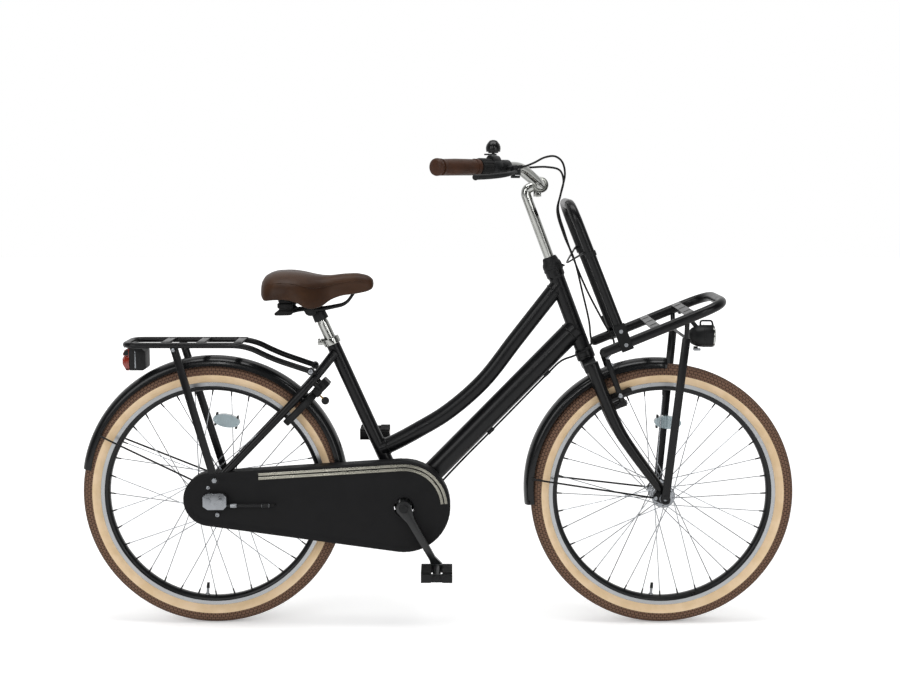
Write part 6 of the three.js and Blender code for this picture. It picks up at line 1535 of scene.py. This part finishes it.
CABLE_RADIUS = 2.3
BRAKE_CABLE = [
    (690, -167.5, 1046.6), (703, -157, 1049), (722, -138, 1056), (748, -104, 1068), (773, -72, 1070),
    (791, -45, 1056), (797, -32, 1030), (789, -26, 990), (783, -24, 955), (798, -24, 900), (817, -24, 846),
    (850, -22, 770), (887, -22, 700), (911, -28, 655), (906, -40, 634), (893.4, -44, 617.9),
]
GEAR_UPPER = [
    (620.7, -159.7, 1051), (648, -128, 1051), (676, -98, 1048), (712, -72, 1046), (755, -54, 1047),
    (784, -48, 1040), (793, -44, 1018), (787, -40, 985), (780, -38, 950), (796, -36, 895), (819, -34, 842),
    (838, -30, 770), (855, -23, 700), (859, -17, 668),
]
GEAR_LOWER = [
    (861, -20, 652), (850, -27, 637), (822, -26, 623), (794, -14, 610), (762, 0, 577), (698, 0, 511),
    (634, 0, 445), (577, 0, 387), (520, -8, 327), (478, -22, 276), (448, -27, 256), (400, -26, 258),
    (352, -32, 261), (300, -44, 266), (230, -54, 273), (184, -61, 284), (160, -66, 290), (148, -75, 291),
    (144, -85, 291), (137.2, -87.8, 291),
]
piece("brake cable", "steering", RUBBER, [tube(smooth(BRAKE_CABLE, 8), CABLE_RADIUS, 12)], ["brake_cable"])
gear = piece("gear cable", None, RUBBER, [tube(smooth(GEAR_UPPER + GEAR_LOWER, 8), CABLE_RADIUS, 12)],
             ["gear_cable_upper", "gear_cable_lower"])
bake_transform(gear)
brake_end = vec(*BRAKE_CABLE[-1])
cap = rod(vec(*BRAKE_CABLE[-2]).lerp(brake_end, 0.45), brake_end, 3.2, sides=16)
piece("cable end caps", "steering", ALLOY, [cap])

# Pieces of the drawing that stay as they are, each with its real finish

KEPT = {"saddle_base": PLASTIC, "chain": ZINC, "sprocket": ZINC, "chaincase_inner": CASE}
for name, mat in KEPT.items():
    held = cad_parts[name]
    held.data.materials.clear()
    held.data.materials.append(mat)

# Floor, lights and camera, in metres

scene = bpy.context.scene


def paper_floor():
    """White paper that keeps the shadows and meets the white backdrop without a line."""
    mat = finish("white paper floor", "#ffffff", 0.95, second="#fefefe", shine=0.1)
    tree = mat.node_tree
    seen = node(tree, "LightPath").outputs["Is Camera Ray"]
    place = node(tree, "VectorMath", {"operation": "LENGTH"}, Vector=node(tree, "TexCoord").outputs["Object"])
    far = node(tree, "MapRange", {"From Min": 1.2, "From Max": 3.6, "To Min": 0.26, "To Max": 0.75},
               Value=place.outputs["Value"])
    lift = node(tree, "Math", {"operation": "MULTIPLY"}, i0=seen, i1=far.outputs["Result"]).outputs["Value"]
    shader = tree.nodes["Principled BSDF"]
    shader.inputs["Emission Color"].default_value = (1, 1, 1, 1)
    tree.links.new(lift, shader.inputs["Emission Strength"])
    return mat


def make_floor():
    half = 14.0
    corners = [(x * half, y * half, 0) for x, y in ((-1, -1), (1, -1), (1, 1), (-1, 1))]
    mesh = bpy.data.meshes.new("floor")
    mesh.from_pydata(corners, [], [(0, 1, 2, 3)])
    mesh.materials.append(paper_floor())
    floor = bpy.data.objects.new("floor", mesh)
    scene.collection.objects.link(floor)


make_floor()


def studio_world():
    """A white backdrop to the eye; polished parts see it too, fading to grey on the lens's side."""
    world = bpy.data.worlds.new("studio")
    scene.world = world
    world.use_nodes = True
    tree = world.node_tree
    way = node(tree, "SeparateXYZ", Vector=node(tree, "TexCoord").outputs["Generated"]).outputs["Y"]
    room = node(tree, "MapRange", {"From Min": -0.3, "From Max": 0.75, "To Min": 0.07, "To Max": 0.85},
                Value=way)
    rays = node(tree, "LightPath").outputs
    mirrored = node(tree, "Math", {"operation": "MAXIMUM"}, i0=rays["Is Glossy Ray"],
                    i1=rays["Is Transmission Ray"]).outputs["Value"]
    level = node(tree, "Mix", {"data_type": "FLOAT", 2: 0.55}, i0=mirrored,
                 i3=room.outputs["Result"]).outputs[0]
    strength = node(tree, "Math", {"operation": "MAXIMUM"}, i0=level,
                    i1=rays["Is Camera Ray"]).outputs["Value"]
    background = tree.nodes["Background"]
    background.inputs["Color"].default_value = (1, 1, 1, 1)
    tree.links.new(strength, background.inputs["Strength"])


studio_world()


def area_light(name, at, target, size, power):
    data = bpy.data.lights.new(name, "AREA")
    data.shape = "RECTANGLE"
    data.size, data.size_y = size
    data.energy = power
    obj = bpy.data.objects.new(name, data)
    scene.collection.objects.link(obj)
    obj.location = at
    obj.rotation_euler = (Vector(target) - Vector(at)).to_track_quat("-Z", "Y").to_euler()
    return obj


area_light("overhead softbox", (0, -0.3, 3.2), (0, 0, 0.4), (3.0, 1.2), 46)
area_light("side softbox", (-2.6, -3.0, 1.9), (0, 0, 0.5), (1.6, 2.2), 32)
area_light("front softbox", (2.4, -2.8, 1.2), (0.2, 0, 0.5), (1.2, 1.8), 16)
area_light("left strip", (-0.9, -3.4, 2.3), (0, 0, 0.6), (0.22, 1.9), 16)
area_light("right strip", (1.3, -3.3, 2.0), (0.2, 0, 0.6), (0.22, 1.9), 12)


def make_camera():
    """The photograph's own view: from the right at the height of the bars, looking down a little."""
    data = bpy.data.cameras.new("camera")
    data.sensor_width = 36
    data.lens = 61.5
    camera = bpy.data.objects.new("camera", data)
    camera.location = (0.0292, -3.4767, 1.050)
    down = math.radians(6.36)
    camera.rotation_euler = (math.pi / 2 - down, 0, 0.0005)
    scene.collection.objects.link(camera)
    scene.camera = camera


make_camera()
scene.view_settings.view_transform = "Standard"
